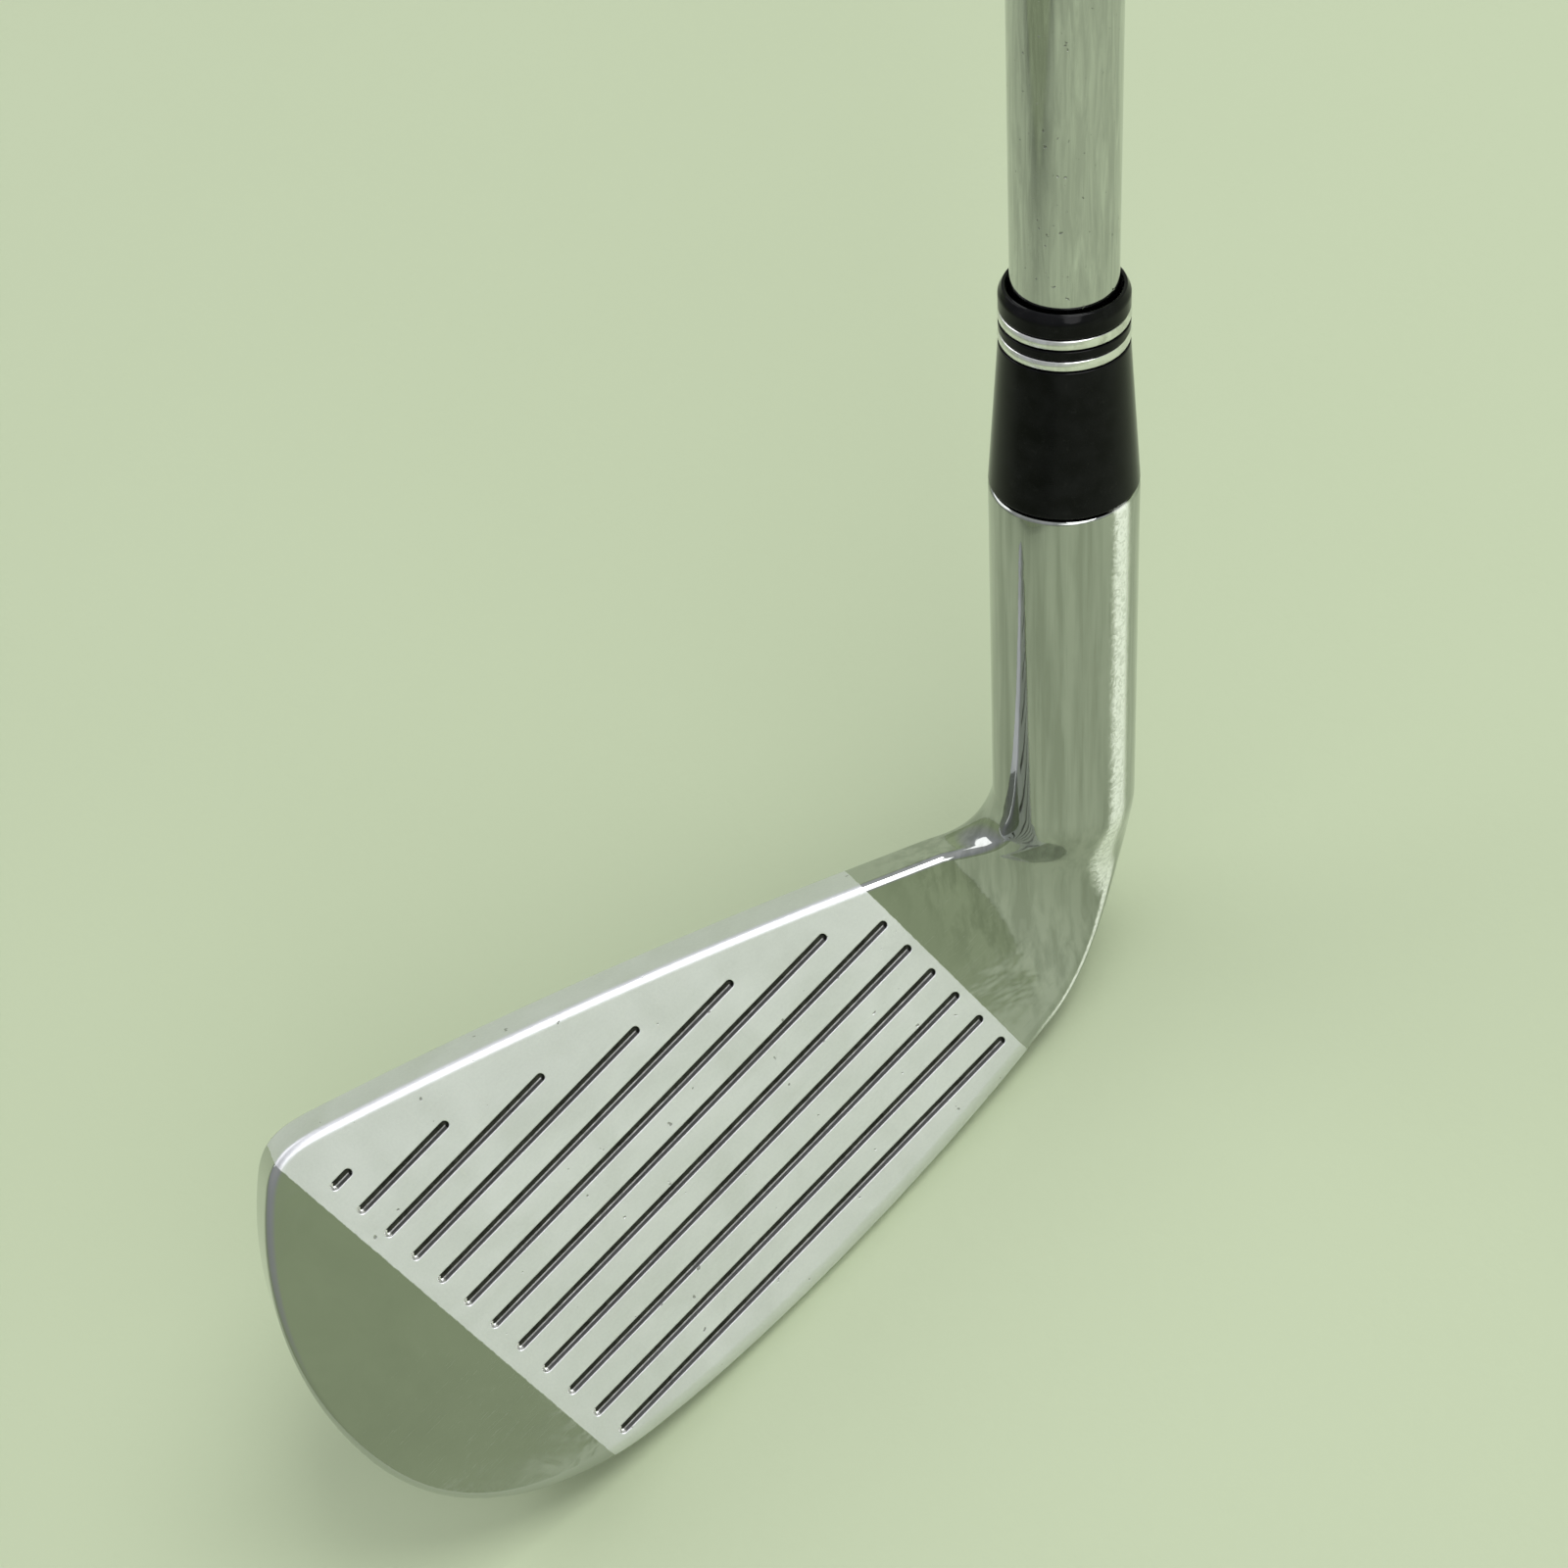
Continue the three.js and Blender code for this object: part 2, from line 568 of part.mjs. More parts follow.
function addFerrule() {
  const black = plain(0x0c0c0e, 0.18);
  const silver = metal(0xd8dadd, 0.2);
  const base = HOSEL_TOP + CLEARANCE;
  const radiusAt = (height) => lerp(HOSEL_RADIUS, FERRULE_TOP_RADIUS, Math.min(1, height / RING_LOWER));
  const collar = (name, bottom, top, outside, material) =>
    addTurned(name, [
      [FERRULE_BORE, base + bottom],
      ...outside.map(([radius, height]) => [radius, base + height]),
      [FERRULE_BORE, base + top],
    ], material);
  const straight = (bottom, top, radius) => [[radius, bottom], [radius, top]];

  const bodyTop = RING_LOWER - STACK_GAP;
  collar("ferrule_body", 0, bodyTop, [[radiusAt(0), 0], [radiusAt(bodyTop), bodyTop]], black);
  const upperEdge = RING_LOWER + RING_HEIGHT;
  collar("ferrule_ring_lower", RING_LOWER, upperEdge, straight(RING_LOWER, upperEdge, RING_RADIUS), silver);
  const spacer = [upperEdge + STACK_GAP, RING_UPPER - STACK_GAP];
  collar("ferrule_spacer", ...spacer, straight(...spacer, FERRULE_TOP_RADIUS), black);
  const ringTop = RING_UPPER + RING_HEIGHT;
  collar("ferrule_ring_upper", RING_UPPER, ringTop, straight(RING_UPPER, ringTop, RING_RADIUS), silver);
  const capBottom = ringTop + STACK_GAP;
  collar("ferrule_cap", capBottom, FERRULE_LENGTH, [
    [FERRULE_TOP_RADIUS, capBottom],
    [FERRULE_TOP_RADIUS, FERRULE_LENGTH - CAP_CHAMFER],
    [FERRULE_BORE + CLEARANCE, FERRULE_LENGTH],
  ], black);
}

function addGrip() {
  const rubber = plain(0x1b1b1d, 0.75);
  const sleeveEnd = CLUB_END - END_CAP_HEIGHT;
  addTurned("grip_tape", [
    [BUTT_RADIUS + CLEARANCE, GRIP_MOUTH + TAPE_MARGIN],
    [BUTT_RADIUS + CLEARANCE + TAPE_THICKNESS, GRIP_MOUTH + TAPE_MARGIN],
    [BUTT_RADIUS + CLEARANCE + TAPE_THICKNESS, SHAFT_BUTT - TAPE_MARGIN],
    [BUTT_RADIUS + CLEARANCE, SHAFT_BUTT - TAPE_MARGIN],
  ], plain(0xd9d2c0, 0.9));
  addTurned("grip_sleeve", [
    [GRIP_BORE_RADIUS, GRIP_MOUTH],
    [GRIP_MOUTH_RADIUS, GRIP_MOUTH],
    [GRIP_MOUTH_RADIUS, GRIP_MOUTH + GRIP_LIP_LENGTH],
    [GRIP_BUTT_RADIUS, sleeveEnd - CLEARANCE],
    [GRIP_BORE_RADIUS, sleeveEnd - CLEARANCE],
  ], rubber);
  addTurned("grip_end_cap", [
    [VENT_RADIUS, sleeveEnd],
    [GRIP_BUTT_RADIUS, sleeveEnd],
    [END_CAP_RADIUS, sleeveEnd + END_CAP_HEIGHT / 3],
    [END_CAP_RADIUS, sleeveEnd + (2 * END_CAP_HEIGHT) / 3],
    [END_CAP_FACE_RADIUS, CLUB_END],
    [VENT_RADIUS, CLUB_END],
  ], rubber);
}

addPiece(club, "head", headGeometry().translate(-ORIGIN.x, -ORIGIN.y, -ORIGIN.z), metal(0xc4c7ca, 0.22));
addShaft();
addFerrule();
addGrip();

export default club;
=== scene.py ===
"""The looks of the iron golf club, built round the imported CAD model.

Work is in millimetres and turned into metres when a mesh is made. The clubface has its own frame:
u runs from toe to heel along the score lines, v up the face and n out of it. Pieces on the shaft's
axis are placed by s, the distance along the axis from the height of the lowest score line.
"""

import math

import bmesh
import bpy
import numpy as np
from mathutils import Matrix, Vector
from mathutils.geometry import delaunay_2d_cdt


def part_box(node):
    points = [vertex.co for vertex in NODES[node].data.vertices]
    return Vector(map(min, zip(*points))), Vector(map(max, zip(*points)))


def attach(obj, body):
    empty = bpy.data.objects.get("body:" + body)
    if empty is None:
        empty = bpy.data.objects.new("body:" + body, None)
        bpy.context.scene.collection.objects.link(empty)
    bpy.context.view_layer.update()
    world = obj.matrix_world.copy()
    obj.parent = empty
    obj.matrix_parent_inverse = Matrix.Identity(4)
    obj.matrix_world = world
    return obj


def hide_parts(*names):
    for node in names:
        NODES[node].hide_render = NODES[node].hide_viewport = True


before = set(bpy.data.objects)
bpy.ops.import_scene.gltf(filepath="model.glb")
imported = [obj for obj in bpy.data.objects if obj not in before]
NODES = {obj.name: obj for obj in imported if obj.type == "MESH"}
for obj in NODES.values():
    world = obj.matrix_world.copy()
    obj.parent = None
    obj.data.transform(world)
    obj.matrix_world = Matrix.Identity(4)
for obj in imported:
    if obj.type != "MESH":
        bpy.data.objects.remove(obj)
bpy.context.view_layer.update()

MM = 1000.0

# ---------------------------------------------------------------- the head's driving dimensions

LOFT = math.radians(27)
LIE = math.radians(60)

TOE_POINT = (-17.35, 17.2)
TOE_PEAK_START = (-4.2, 43.9)
TOPLINE_START = (4.8, 44.1)
TOPLINE_END = (54.9, 22.4)
TOPLINE_FALL = 0.5
TOPLINE_REACH = 12
LEADING_EDGE_START = (2.1, -2)
LEADING_EDGE_END = (60, -1.9)

TOPLINE_DEPTH = 6.4
TOE_DEPTH = 8
FRONT_EDGE_RADIUS = 0.8
BACK_EDGE_RADIUS = 1.2
MUSCLE_TOP = 0.36
MUSCLE_BOTTOM = 0.68
MUSCLE_SHARE = 0.7

LEADING_EDGE_RADIUS = 1.8
LEADING_EDGE_LIFT = 0.6 * LEADING_EDGE_RADIUS
TRAILING_EDGE_RADIUS = 2.2
SOLE_WIDTH_MIDDLE = 14.5
SOLE_WIDTH_HEEL = 9
SOLE_FALL = math.radians(6)
SOLE_RISE = math.radians(15)
SOLE_FLAT_CUT = 0.1
SOLE_FLAT_U = 28

HOSEL_RADIUS = 6.75
HOSEL_TOP = 56.4
HOSEL_CHAMFER = 0.4
BORE_RADIUS = 5.05
BORE_BOTTOM = 21.5
AXIS_U = 64.78
AXIS_BEHIND = 4.75
CROTCH_RADIUS = 6
HEEL_RADIUS = 26
HEEL_BOTTOM = -5
FOOT_START = math.radians(-15)

SCORE_COUNT = 12
SCORE_PITCH = 3.6
SCORE_WIDTH = 0.9
SCORE_DEPTH = 0.4
SCORE_FULL_LENGTH = 54
SCORE_FIRST_LENGTH = 2.6
SCORE_LENGTH_STEP = 9.3
TOE_SPAN = 22
ROUND_CORNERS = [math.radians(a) for a in (222, 312, 402, 500, 582)]

# the blasted band of the face, and how far it wraps over the topline and under the leading edge
SATIN_TOE = -1.7
SATIN_HEEL = 54.8
SATIN_OVER = -5.6
SATIN_UNDER = -2.3

# painted highlight: a near-white stripe down the front of the hosel and heel, placed by which way the
# surface faces: where it starts, the turn round the tube from straight ahead at its middle (on the hosel,
# and at the heel's foot), and the half widths of its core and of its soft edge
STREAKS_AND_HIGHLIGHT_FROM = 57.0
HIGHLIGHT_TURN_HOSEL = math.radians(13)
HIGHLIGHT_TURN_HEEL = math.radians(8)
HIGHLIGHT_HEEL_REACH = 15.0
HIGHLIGHT_CORE = math.radians(4)
HIGHLIGHT_FADE = math.radians(13)

# mesh resolution of the head
TOE_STATIONS = 60
BLADE_STATIONS = 80
FAN_STATIONS = 80
HOLD = 0.005

# ---------------------------------------------------------------- frames

BACKWARD = np.array([0.0, 1.0, 0.0])
FACE_UP = np.array([0.0, math.sin(LOFT), math.cos(LOFT)])
FACE_OUT = np.array([0.0, -math.cos(LOFT), math.sin(LOFT)])
SHAFT_DIRECTION = np.array([math.cos(LIE), 0.0, math.sin(LIE)])


def lerp(a, b, t):
    return a + (b - a) * t


def smoothstep(x, low, high):
    t = min(1.0, max(0.0, (x - low) / (high - low)))
    return t * t * (3 - 2 * t)


def face_point(u, v):
    return np.array([u, 0.0, 0.0]) + v * FACE_UP


def face_at_height(x, z):
    return np.array([x, z * math.tan(LOFT), z])


AXIS_FOOT = np.array([AXIS_U, AXIS_BEHIND, -AXIS_BEHIND * math.tan(LOFT)])


def axis_point(s):
    return AXIS_FOOT + s * SHAFT_DIRECTION


def bisect(low, high, is_below):
    for _ in range(50):
        middle = (low + high) / 2
        if is_below(middle):
            low = middle
        else:
            high = middle
    return low


# ---------------------------------------------------------------- blade outline


def topline_past(distance):
    return (TOPLINE_END[0] + distance, TOPLINE_END[1] - distance * TOPLINE_FALL)


TOP_OUTLINE = [
    (TOE_POINT, (-17.35, 28), (-11.8, 37.6), TOE_PEAK_START),
    (TOE_PEAK_START, (-1.27, 46.33), (1.27, 45.41), TOPLINE_START),
    (TOPLINE_START, (22, 37.75), (38.7, 30.5), TOPLINE_END),
    tuple(topline_past(TOPLINE_REACH * k / 3) for k in range(4)),
]
BOTTOM_OUTLINE = [
    (TOE_POINT, (-17.35, 6.5), (-9.5, 0), LEADING_EDGE_START),
    (LEADING_EDGE_START, (17.5, -4.55), (42, -4.3), LEADING_EDGE_END),
]


def bezier(points, t):
    weights = ((1 - t) ** 3, 3 * (1 - t) ** 2 * t, 3 * (1 - t) * t * t, t**3)
    return sum(w * np.array(p, float) for w, p in zip(weights, points))


def bezier_tangent(points, t):
    p = np.array(points, float)
    d = (1 - t) ** 2 * (p[1] - p[0]) + 2 * (1 - t) * t * (p[2] - p[1]) + t * t * (p[3] - p[2])
    return d / np.linalg.norm(d)


def outline_at(outline, side, u):
    """The outline's point at u and its outward direction; side is 1 for the top, -1 for the bottom."""
    piece = next((p for p in outline if p[3][0] >= u), outline[-1])
    t = bisect(0, 1, lambda middle: bezier(piece, middle)[0] < u)
    point, tangent = bezier(piece, t), bezier_tangent(piece, t)
    return face_point(*point), face_point(-side * tangent[1], side * tangent[0])


# ---------------------------------------------------------------- blade section

# how far round a wall its front rounding ends and its back rounding starts
WALL_FRONT = 0.25
WALL_BACK = 0.625
WALL_SAMPLES = np.concatenate([
    np.linspace(0, WALL_FRONT, 8),
    np.linspace(WALL_FRONT, WALL_BACK, 15)[1:],
    np.linspace(WALL_BACK, 1, 10)[1:],
])
FACE_SAMPLES = np.concatenate([[0, HOLD], np.linspace(0, 1, 13)[1:-1], [1 - HOLD, 1]])
BACK_SAMPLES = np.linspace(0, 1, 61)


def by_part(t, front, middle, back):
    """One of three functions of 0 to 1, by which part of a wall t is in."""
    if t <= WALL_FRONT:
        return front(t / WALL_FRONT)
    if t <= WALL_BACK:
        return middle((t - WALL_FRONT) / (WALL_BACK - WALL_FRONT))
    return back((t - WALL_BACK) / (1 - WALL_BACK))


def edge_profile(depth):
    """(inset, depth) pairs of a plain edge from the face to the back."""
    quarter = math.pi / 2
    wall_end = depth - BACK_EDGE_RADIUS
    return [
        by_part(
            t,
            lambda k: (
                FRONT_EDGE_RADIUS * (1 - math.sin(k * quarter)),
                FRONT_EDGE_RADIUS * (1 - math.cos(k * quarter)),
            ),
            lambda k: (0.0, lerp(FRONT_EDGE_RADIUS, wall_end, k)),
            lambda k: (
                BACK_EDGE_RADIUS * (1 - math.cos(k * quarter)),
                wall_end + BACK_EDGE_RADIUS * math.sin(k * quarter),
            ),
        )
        for t in WALL_SAMPLES
    ]


def sole_profile(width):
    """(backward, upward) pairs from the leading edge over the camber and round the trailing edge."""

    def on_arc(centre, radius, angle):
        return (centre[0] + radius * math.cos(angle), centre[1] + radius * math.sin(angle))

    down = 1.5 * math.pi
    leading = (
        LEADING_EDGE_LIFT * math.sin(LOFT) + LEADING_EDGE_RADIUS * math.cos(LOFT),
        LEADING_EDGE_LIFT * math.cos(LOFT) - LEADING_EDGE_RADIUS * math.sin(LOFT),
    )
    camber_radius = width / (SOLE_FALL + SOLE_RISE)
    camber = on_arc(leading, camber_radius - LEADING_EDGE_RADIUS, math.pi / 2 - SOLE_FALL)
    trailing = on_arc(camber, camber_radius - TRAILING_EDGE_RADIUS, down + SOLE_RISE)
    pairs = [
        by_part(
            t,
            lambda k: on_arc(leading, LEADING_EDGE_RADIUS, lerp(math.pi - LOFT, down - SOLE_FALL, k)),
            lambda k: on_arc(camber, camber_radius, down + lerp(-SOLE_FALL, SOLE_RISE, k)),
            lambda k: on_arc(trailing, TRAILING_EDGE_RADIUS, lerp(down + SOLE_RISE, 2 * math.pi, k)),
        )
        for t in WALL_SAMPLES
    ]
    return pairs, (camber[0], camber[1] - camber_radius)


def blade_loop(top, bottom, up, depth, sole_width, sole_share):
    """One closed loop round the blade, as its face, top, back and sole sides."""
    profile = edge_profile(depth)

    def plain_wall(edge):
        point, out = edge
        return np.array([point - out * inset - FACE_OUT * back for inset, back in profile])

    top_wall = plain_wall(top)
    pairs, _ = sole_profile(sole_width)
    sole_wall = np.array([bottom[0] + BACKWARD * back + up * rise for back, rise in pairs])
    bottom_wall = lerp(plain_wall(bottom), sole_wall, sole_share)
    bottom_wall[0] -= FACE_OUT * bottom_wall[0].dot(FACE_OUT)
    face = np.array([lerp(bottom_wall[0], top_wall[0], t) for t in FACE_SAMPLES])
    back_top, back_bottom = top_wall[-1], bottom_wall[-1]
    growth = (back_top - back_bottom).dot(FACE_OUT)
    back = np.array([
        lerp(back_top, back_bottom, t)
        + FACE_OUT
        * growth
        * (t - MUSCLE_SHARE * smoothstep(t, MUSCLE_TOP, MUSCLE_BOTTOM) - (1 - MUSCLE_SHARE) * t * t)
        for t in BACK_SAMPLES
    ])
    return [face, top_wall, back, bottom_wall[::-1]]


SIDE_SAMPLES = [FACE_SAMPLES, WALL_SAMPLES, BACK_SAMPLES, 1 - WALL_SAMPLES[::-1]]


def round_loop(centre, up, height, width):
    """The same loop as an ellipse about the hosel's axis."""
    loop = []
    for side, samples in enumerate(SIDE_SAMPLES):
        angles = lerp(ROUND_CORNERS[side], ROUND_CORNERS[side + 1], samples)
        loop.append(
            centre
            + np.outer(height * np.cos(angles), up)
            + np.outer(width * np.sin(angles), BACKWARD)
        )
    return loop


# ---------------------------------------------------------------- hosel fan


def along(angle):
    return np.array([math.cos(angle), math.sin(angle)])


def flat(vector):
    return np.array([vector[0], vector[2]])


def cross(a, b):
    return a[0] * b[1] - a[1] * b[0]


def meet(point_a, direction_a, point_b, direction_b):
    t = cross(point_b - point_a, direction_b) / cross(direction_a, direction_b)
    return point_a + direction_a * t


def fan_down(angle):
    return along(angle - math.pi / 2)


FAN_START = -math.atan(TOPLINE_FALL * math.cos(LOFT))
PIVOT = meet(
    flat(face_point(*TOPLINE_END)) - CROTCH_RADIUS * fan_down(FAN_START),
    along(FAN_START),
    flat(AXIS_FOOT) - (HOSEL_RADIUS + CROTCH_RADIUS) * fan_down(LIE),
    along(LIE),
)
HEEL_CENTRE = meet(
    flat(AXIS_FOOT) + (HOSEL_RADIUS - HEEL_RADIUS) * fan_down(LIE),
    along(LIE),
    np.array([0.0, HEEL_BOTTOM + HEEL_RADIUS]),
    along(0),
)


def heel_reach(angle):
    """Distance from the pivot to the heel's outer side: sole, rounded heel, hosel."""
    down = fan_down(angle)
    to_sole = (PIVOT[1] - HEEL_BOTTOM) / -down[1]
    if PIVOT[0] + down[0] * to_sole <= HEEL_CENTRE[0]:
        return to_sole
    offset = PIVOT - HEEL_CENTRE
    half = offset.dot(down)
    to_arc = -half + math.sqrt(half * half - offset.dot(offset) + HEEL_RADIUS**2)
    turned = PIVOT + down * to_arc - HEEL_CENTRE
    if math.atan2(turned[1], turned[0]) <= LIE - math.pi / 2:
        return to_arc
    return (CROTCH_RADIUS + 2 * HOSEL_RADIUS) / math.cos(LIE - angle)


FAN_FOOT_U = bisect(
    0,
    LEADING_EDGE_END[0],
    lambda u: cross(fan_down(FOOT_START), flat(outline_at(BOTTOM_OUTLINE, -1, u)[0]) - PIVOT) < 0,
)
FAN_HEAD_U = PIVOT[0] + CROTCH_RADIUS * fan_down(FAN_START)[0]
EDGE_RISE = heel_reach(FOOT_START) - np.linalg.norm(
    flat(outline_at(BOTTOM_OUTLINE, -1, FAN_FOOT_U)[0]) - PIVOT
)
SOLE_WIDTH_FAN = (SOLE_WIDTH_MIDDLE + SOLE_WIDTH_HEEL) / 2


def blade_station(u):
    lean = max(0.0, (u - SOLE_FLAT_U) / (FAN_FOOT_U - SOLE_FLAT_U)) ** 2
    tilt = -FOOT_START * lean
    return blade_loop(
        outline_at(TOP_OUTLINE, 1, u + lean * (FAN_HEAD_U - FAN_FOOT_U)),
        outline_at(BOTTOM_OUTLINE, -1, u),
        np.array([math.sin(tilt), 0.0, math.cos(tilt)]),
        lerp(TOE_DEPTH, TOPLINE_DEPTH, smoothstep(u, TOE_POINT[0], TOPLINE_START[0])),
        lerp(SOLE_WIDTH_MIDDLE, SOLE_WIDTH_FAN, smoothstep(u, SOLE_FLAT_U, FAN_FOOT_U)),
        smoothstep(u, TOE_POINT[0], LEADING_EDGE_START[0]),
    )


def toe_station():
    """The first section closes on itself where the toe's upper and lower walls meet."""
    face, top, back, _ = blade_station(TOE_POINT[0])
    return [np.repeat(top[:1], len(face), 0), top, np.repeat(top[-1:], len(back), 0), top[::-1]]


def fan_station(t):
    crotch = PIVOT + CROTCH_RADIUS * fan_down(lerp(FAN_START, LIE, t))
    foot_angle = lerp(FOOT_START, LIE, t)
    reach = heel_reach(foot_angle)
    heel_point = PIVOT + reach * fan_down(foot_angle)
    edge_point = PIVOT + (reach - EDGE_RISE) * fan_down(foot_angle)
    lean = (crotch - heel_point) / np.linalg.norm(crotch - heel_point)
    up = np.array([lean[0], 0.0, lean[1]])
    out = face_at_height(*lean)
    out /= np.linalg.norm(out)
    blade = blade_loop(
        (face_at_height(*crotch), out),
        (face_at_height(*edge_point), -out),
        up,
        TOPLINE_DEPTH,
        lerp(SOLE_WIDTH_FAN, SOLE_WIDTH_HEEL, t),
        1,
    )
    middle = (crotch + heel_point) / 2
    rounded = round_loop(
        np.array([middle[0], AXIS_BEHIND, middle[1]]),
        up,
        np.linalg.norm(crotch - heel_point) / 2,
        HOSEL_RADIUS,
    )
    share = smoothstep(t, 0, 1)
    return [lerp(a, b, share) for a, b in zip(blade, rounded)]


def hosel_ring(s, radius):
    up = np.array([-math.sin(LIE), 0.0, math.cos(LIE)])
    return round_loop(axis_point(s), up, radius, radius)


# ---------------------------------------------------------------- mesh making


class Surface:
    """Points in millimetres and faces over them, welded when the mesh is made."""

    def __init__(self):
        self.points = []
        self.faces = []
        self.slots = []

    def add(self, points, faces, slot=0):
        start = len(self.points)
        self.points.extend(map(tuple, points))
        self.faces.extend(tuple(start + i for i in face) for face in faces)
        self.slots.extend([slot] * len(faces) if isinstance(slot, int) else slot)

    def strip(self, near, far, slot=0, closed=False):
        """Quads between two rows of as many points; slot is one number or one for each quad."""
        count = len(near)
        ends = range(count) if closed else range(count - 1)
        faces = [(i, (i + 1) % count, count + (i + 1) % count, count + i) for i in ends]
        self.add([*near, *far], faces, slot)


# points of one surface closer than this are one; edges bent by more than this stay sharp
WELD = 0.002
SHARP_EDGE = math.radians(38)


def make_object(name, surface, origin, materials):
    """Welds the surface, drops what has collapsed, turns the faces outward and shades it smooth."""
    work = bmesh.new()
    vertices = [work.verts.new((np.array(p) - origin) / MM) for p in surface.points]
    for face, slot in zip(surface.faces, surface.slots):
        work.faces.new([vertices[i] for i in face]).material_index = slot
    bmesh.ops.remove_doubles(work, verts=work.verts, dist=WELD / MM)
    bmesh.ops.dissolve_degenerate(work, edges=work.edges, dist=WELD / MM)
    bmesh.ops.recalc_face_normals(work, faces=work.faces)
    mesh = bpy.data.meshes.new(name)
    work.to_mesh(mesh)
    work.free()
    mesh.polygons.foreach_set("use_smooth", [True] * len(mesh.polygons))
    mesh.set_sharp_from_angle(angle=SHARP_EDGE)
    for material in materials:
        mesh.materials.append(material)
    piece = bpy.data.objects.new(name, mesh)
    bpy.context.scene.collection.objects.link(piece)
    return piece


def stand_for(piece, node):
    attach(piece, "root")
    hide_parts(node)
    return piece


# ---------------------------------------------------------------- head mesh

MIDDLE_SOLE = outline_at(BOTTOM_OUTLINE, -1, SOLE_FLAT_U)[0]
LOWEST_SOLE = sole_profile(SOLE_WIDTH_MIDDLE)[1]
ORIGIN = np.array([
    SOLE_FLAT_U,
    MIDDLE_SOLE[1] + LOWEST_SOLE[0],
    MIDDLE_SOLE[2] + LOWEST_SOLE[1] + SOLE_FLAT_CUT,
])


# the lowest line's worn rim would run over the rounded leading edge near the toe, so that line
# starts a little later and sits a little higher than its slot in the CAD
LOWEST_LINE_INSET = 0.35
LOWEST_LINE_LIFT = 0.25


def score_span(index):
    """Both ends along u and the place in v of one score line, counted from the top."""
    length = min(SCORE_FULL_LENGTH, SCORE_FIRST_LENGTH + index * SCORE_LENGTH_STEP)
    if index == SCORE_COUNT - 1:
        return LOWEST_LINE_INSET, length, LOWEST_LINE_LIFT
    return 0.0, length, (SCORE_COUNT - 1 - index) * SCORE_PITCH


# rings of a score line's section from the rim to the floor: (outset from the rim, depth)
SCORE_RINGS = [
    (0.12, 0.0),
    (0.07, 0.0),
    (0.03, 0.012),
    (0.0, 0.05),
    (-0.02, 0.09),
    (-0.17, 0.335),
    (-0.2, 0.37),
    (-0.26, 0.395),
    (-0.32, SCORE_DEPTH),
]
SCORE_END_STEPS = 14
# slots of the head's materials; in the score lines the shade slot is painted shade and the highlight slot
# a painted highlight
SATIN_SLOT, GROOVE_SLOT, SHADE_SLOT, HIGHLIGHT_SLOT = range(4)


def score_ring(span, outset, depth):
    toe_end, heel_end, v = span
    radius = SCORE_WIDTH / 2 + outset
    middles = (toe_end + SCORE_WIDTH / 2, heel_end - SCORE_WIDTH / 2)
    ring = []
    for middle, start in zip(middles, (math.pi / 2, -math.pi / 2)):
        for k in range(SCORE_END_STEPS + 1):
            angle = start + math.pi * k / SCORE_END_STEPS
            ring.append((middle + radius * math.cos(angle), v + radius * math.sin(angle), depth))
    return ring


def lifted(points):
    return [face_point(u, v) - FACE_OUT * depth for u, v, depth in points]


def add_score_line(surface, index):
    """Sinks one score line and returns its outer rim in (u, v)."""
    rings = [score_ring(score_span(index), *step) for step in SCORE_RINGS]
    ends = SCORE_END_STEPS
    # the toe end of each score line takes the painted highlight, the lower wall the plain groove finish,
    # and the heel end, the upper wall and the floor painted shade
    wall = [HIGHLIGHT_SLOT] * ends + [GROOVE_SLOT] + [SHADE_SLOT] * ends + [SHADE_SLOT]
    for k in range(1, len(rings)):
        slots = wall if k > 3 else SATIN_SLOT
        surface.strip(lifted(rings[k - 1]), lifted(rings[k]), slots, closed=True)
    toe_end, heel_end = rings[-1][: ends + 1], rings[-1][ends + 1 :]
    surface.strip(lifted(toe_end), lifted(heel_end[::-1]), SHADE_SLOT)
    return [(u, w) for u, w, _ in rings[0]]


def is_inside(point, outline):
    u, v = point
    inside = False
    for (u0, v0), (u1, v1) in zip(outline, outline[1:] + outline[:1]):
        if (v0 > v) != (v1 > v) and u < (u1 - u0) * (v - v0) / (v1 - v0) + u0:
            inside = not inside
    return inside


def add_scored_face(surface, outline):
    holes = [add_score_line(surface, index) for index in range(SCORE_COUNT)]
    points, edges = [], []
    for loop in [outline, *holes]:
        start = len(points)
        points.extend(Vector(p) for p in loop)
        edges.extend((start + i, start + (i + 1) % len(loop)) for i in range(len(loop)))
    flat_points, _, triangles, *_ = delaunay_2d_cdt(points, edges, [], 0, 1e-5)

    def in_a_hole(point):
        for index in range(SCORE_COUNT):
            toe_end, heel_end, v = score_span(index)
            radius = SCORE_WIDTH / 2
            u = min(max(point[0], toe_end + radius), heel_end - radius)
            if math.hypot(point[0] - u, point[1] - v) < radius + SCORE_RINGS[0][0] - 0.004:
                return True
        return False

    kept = []
    for triangle in triangles:
        centre = sum((flat_points[i] for i in triangle), Vector((0, 0))) / 3
        if is_inside(centre, outline) and not in_a_hole(centre):
            kept.append(tuple(triangle))
    surface.add([face_point(p.x, p.y) for p in flat_points], kept)


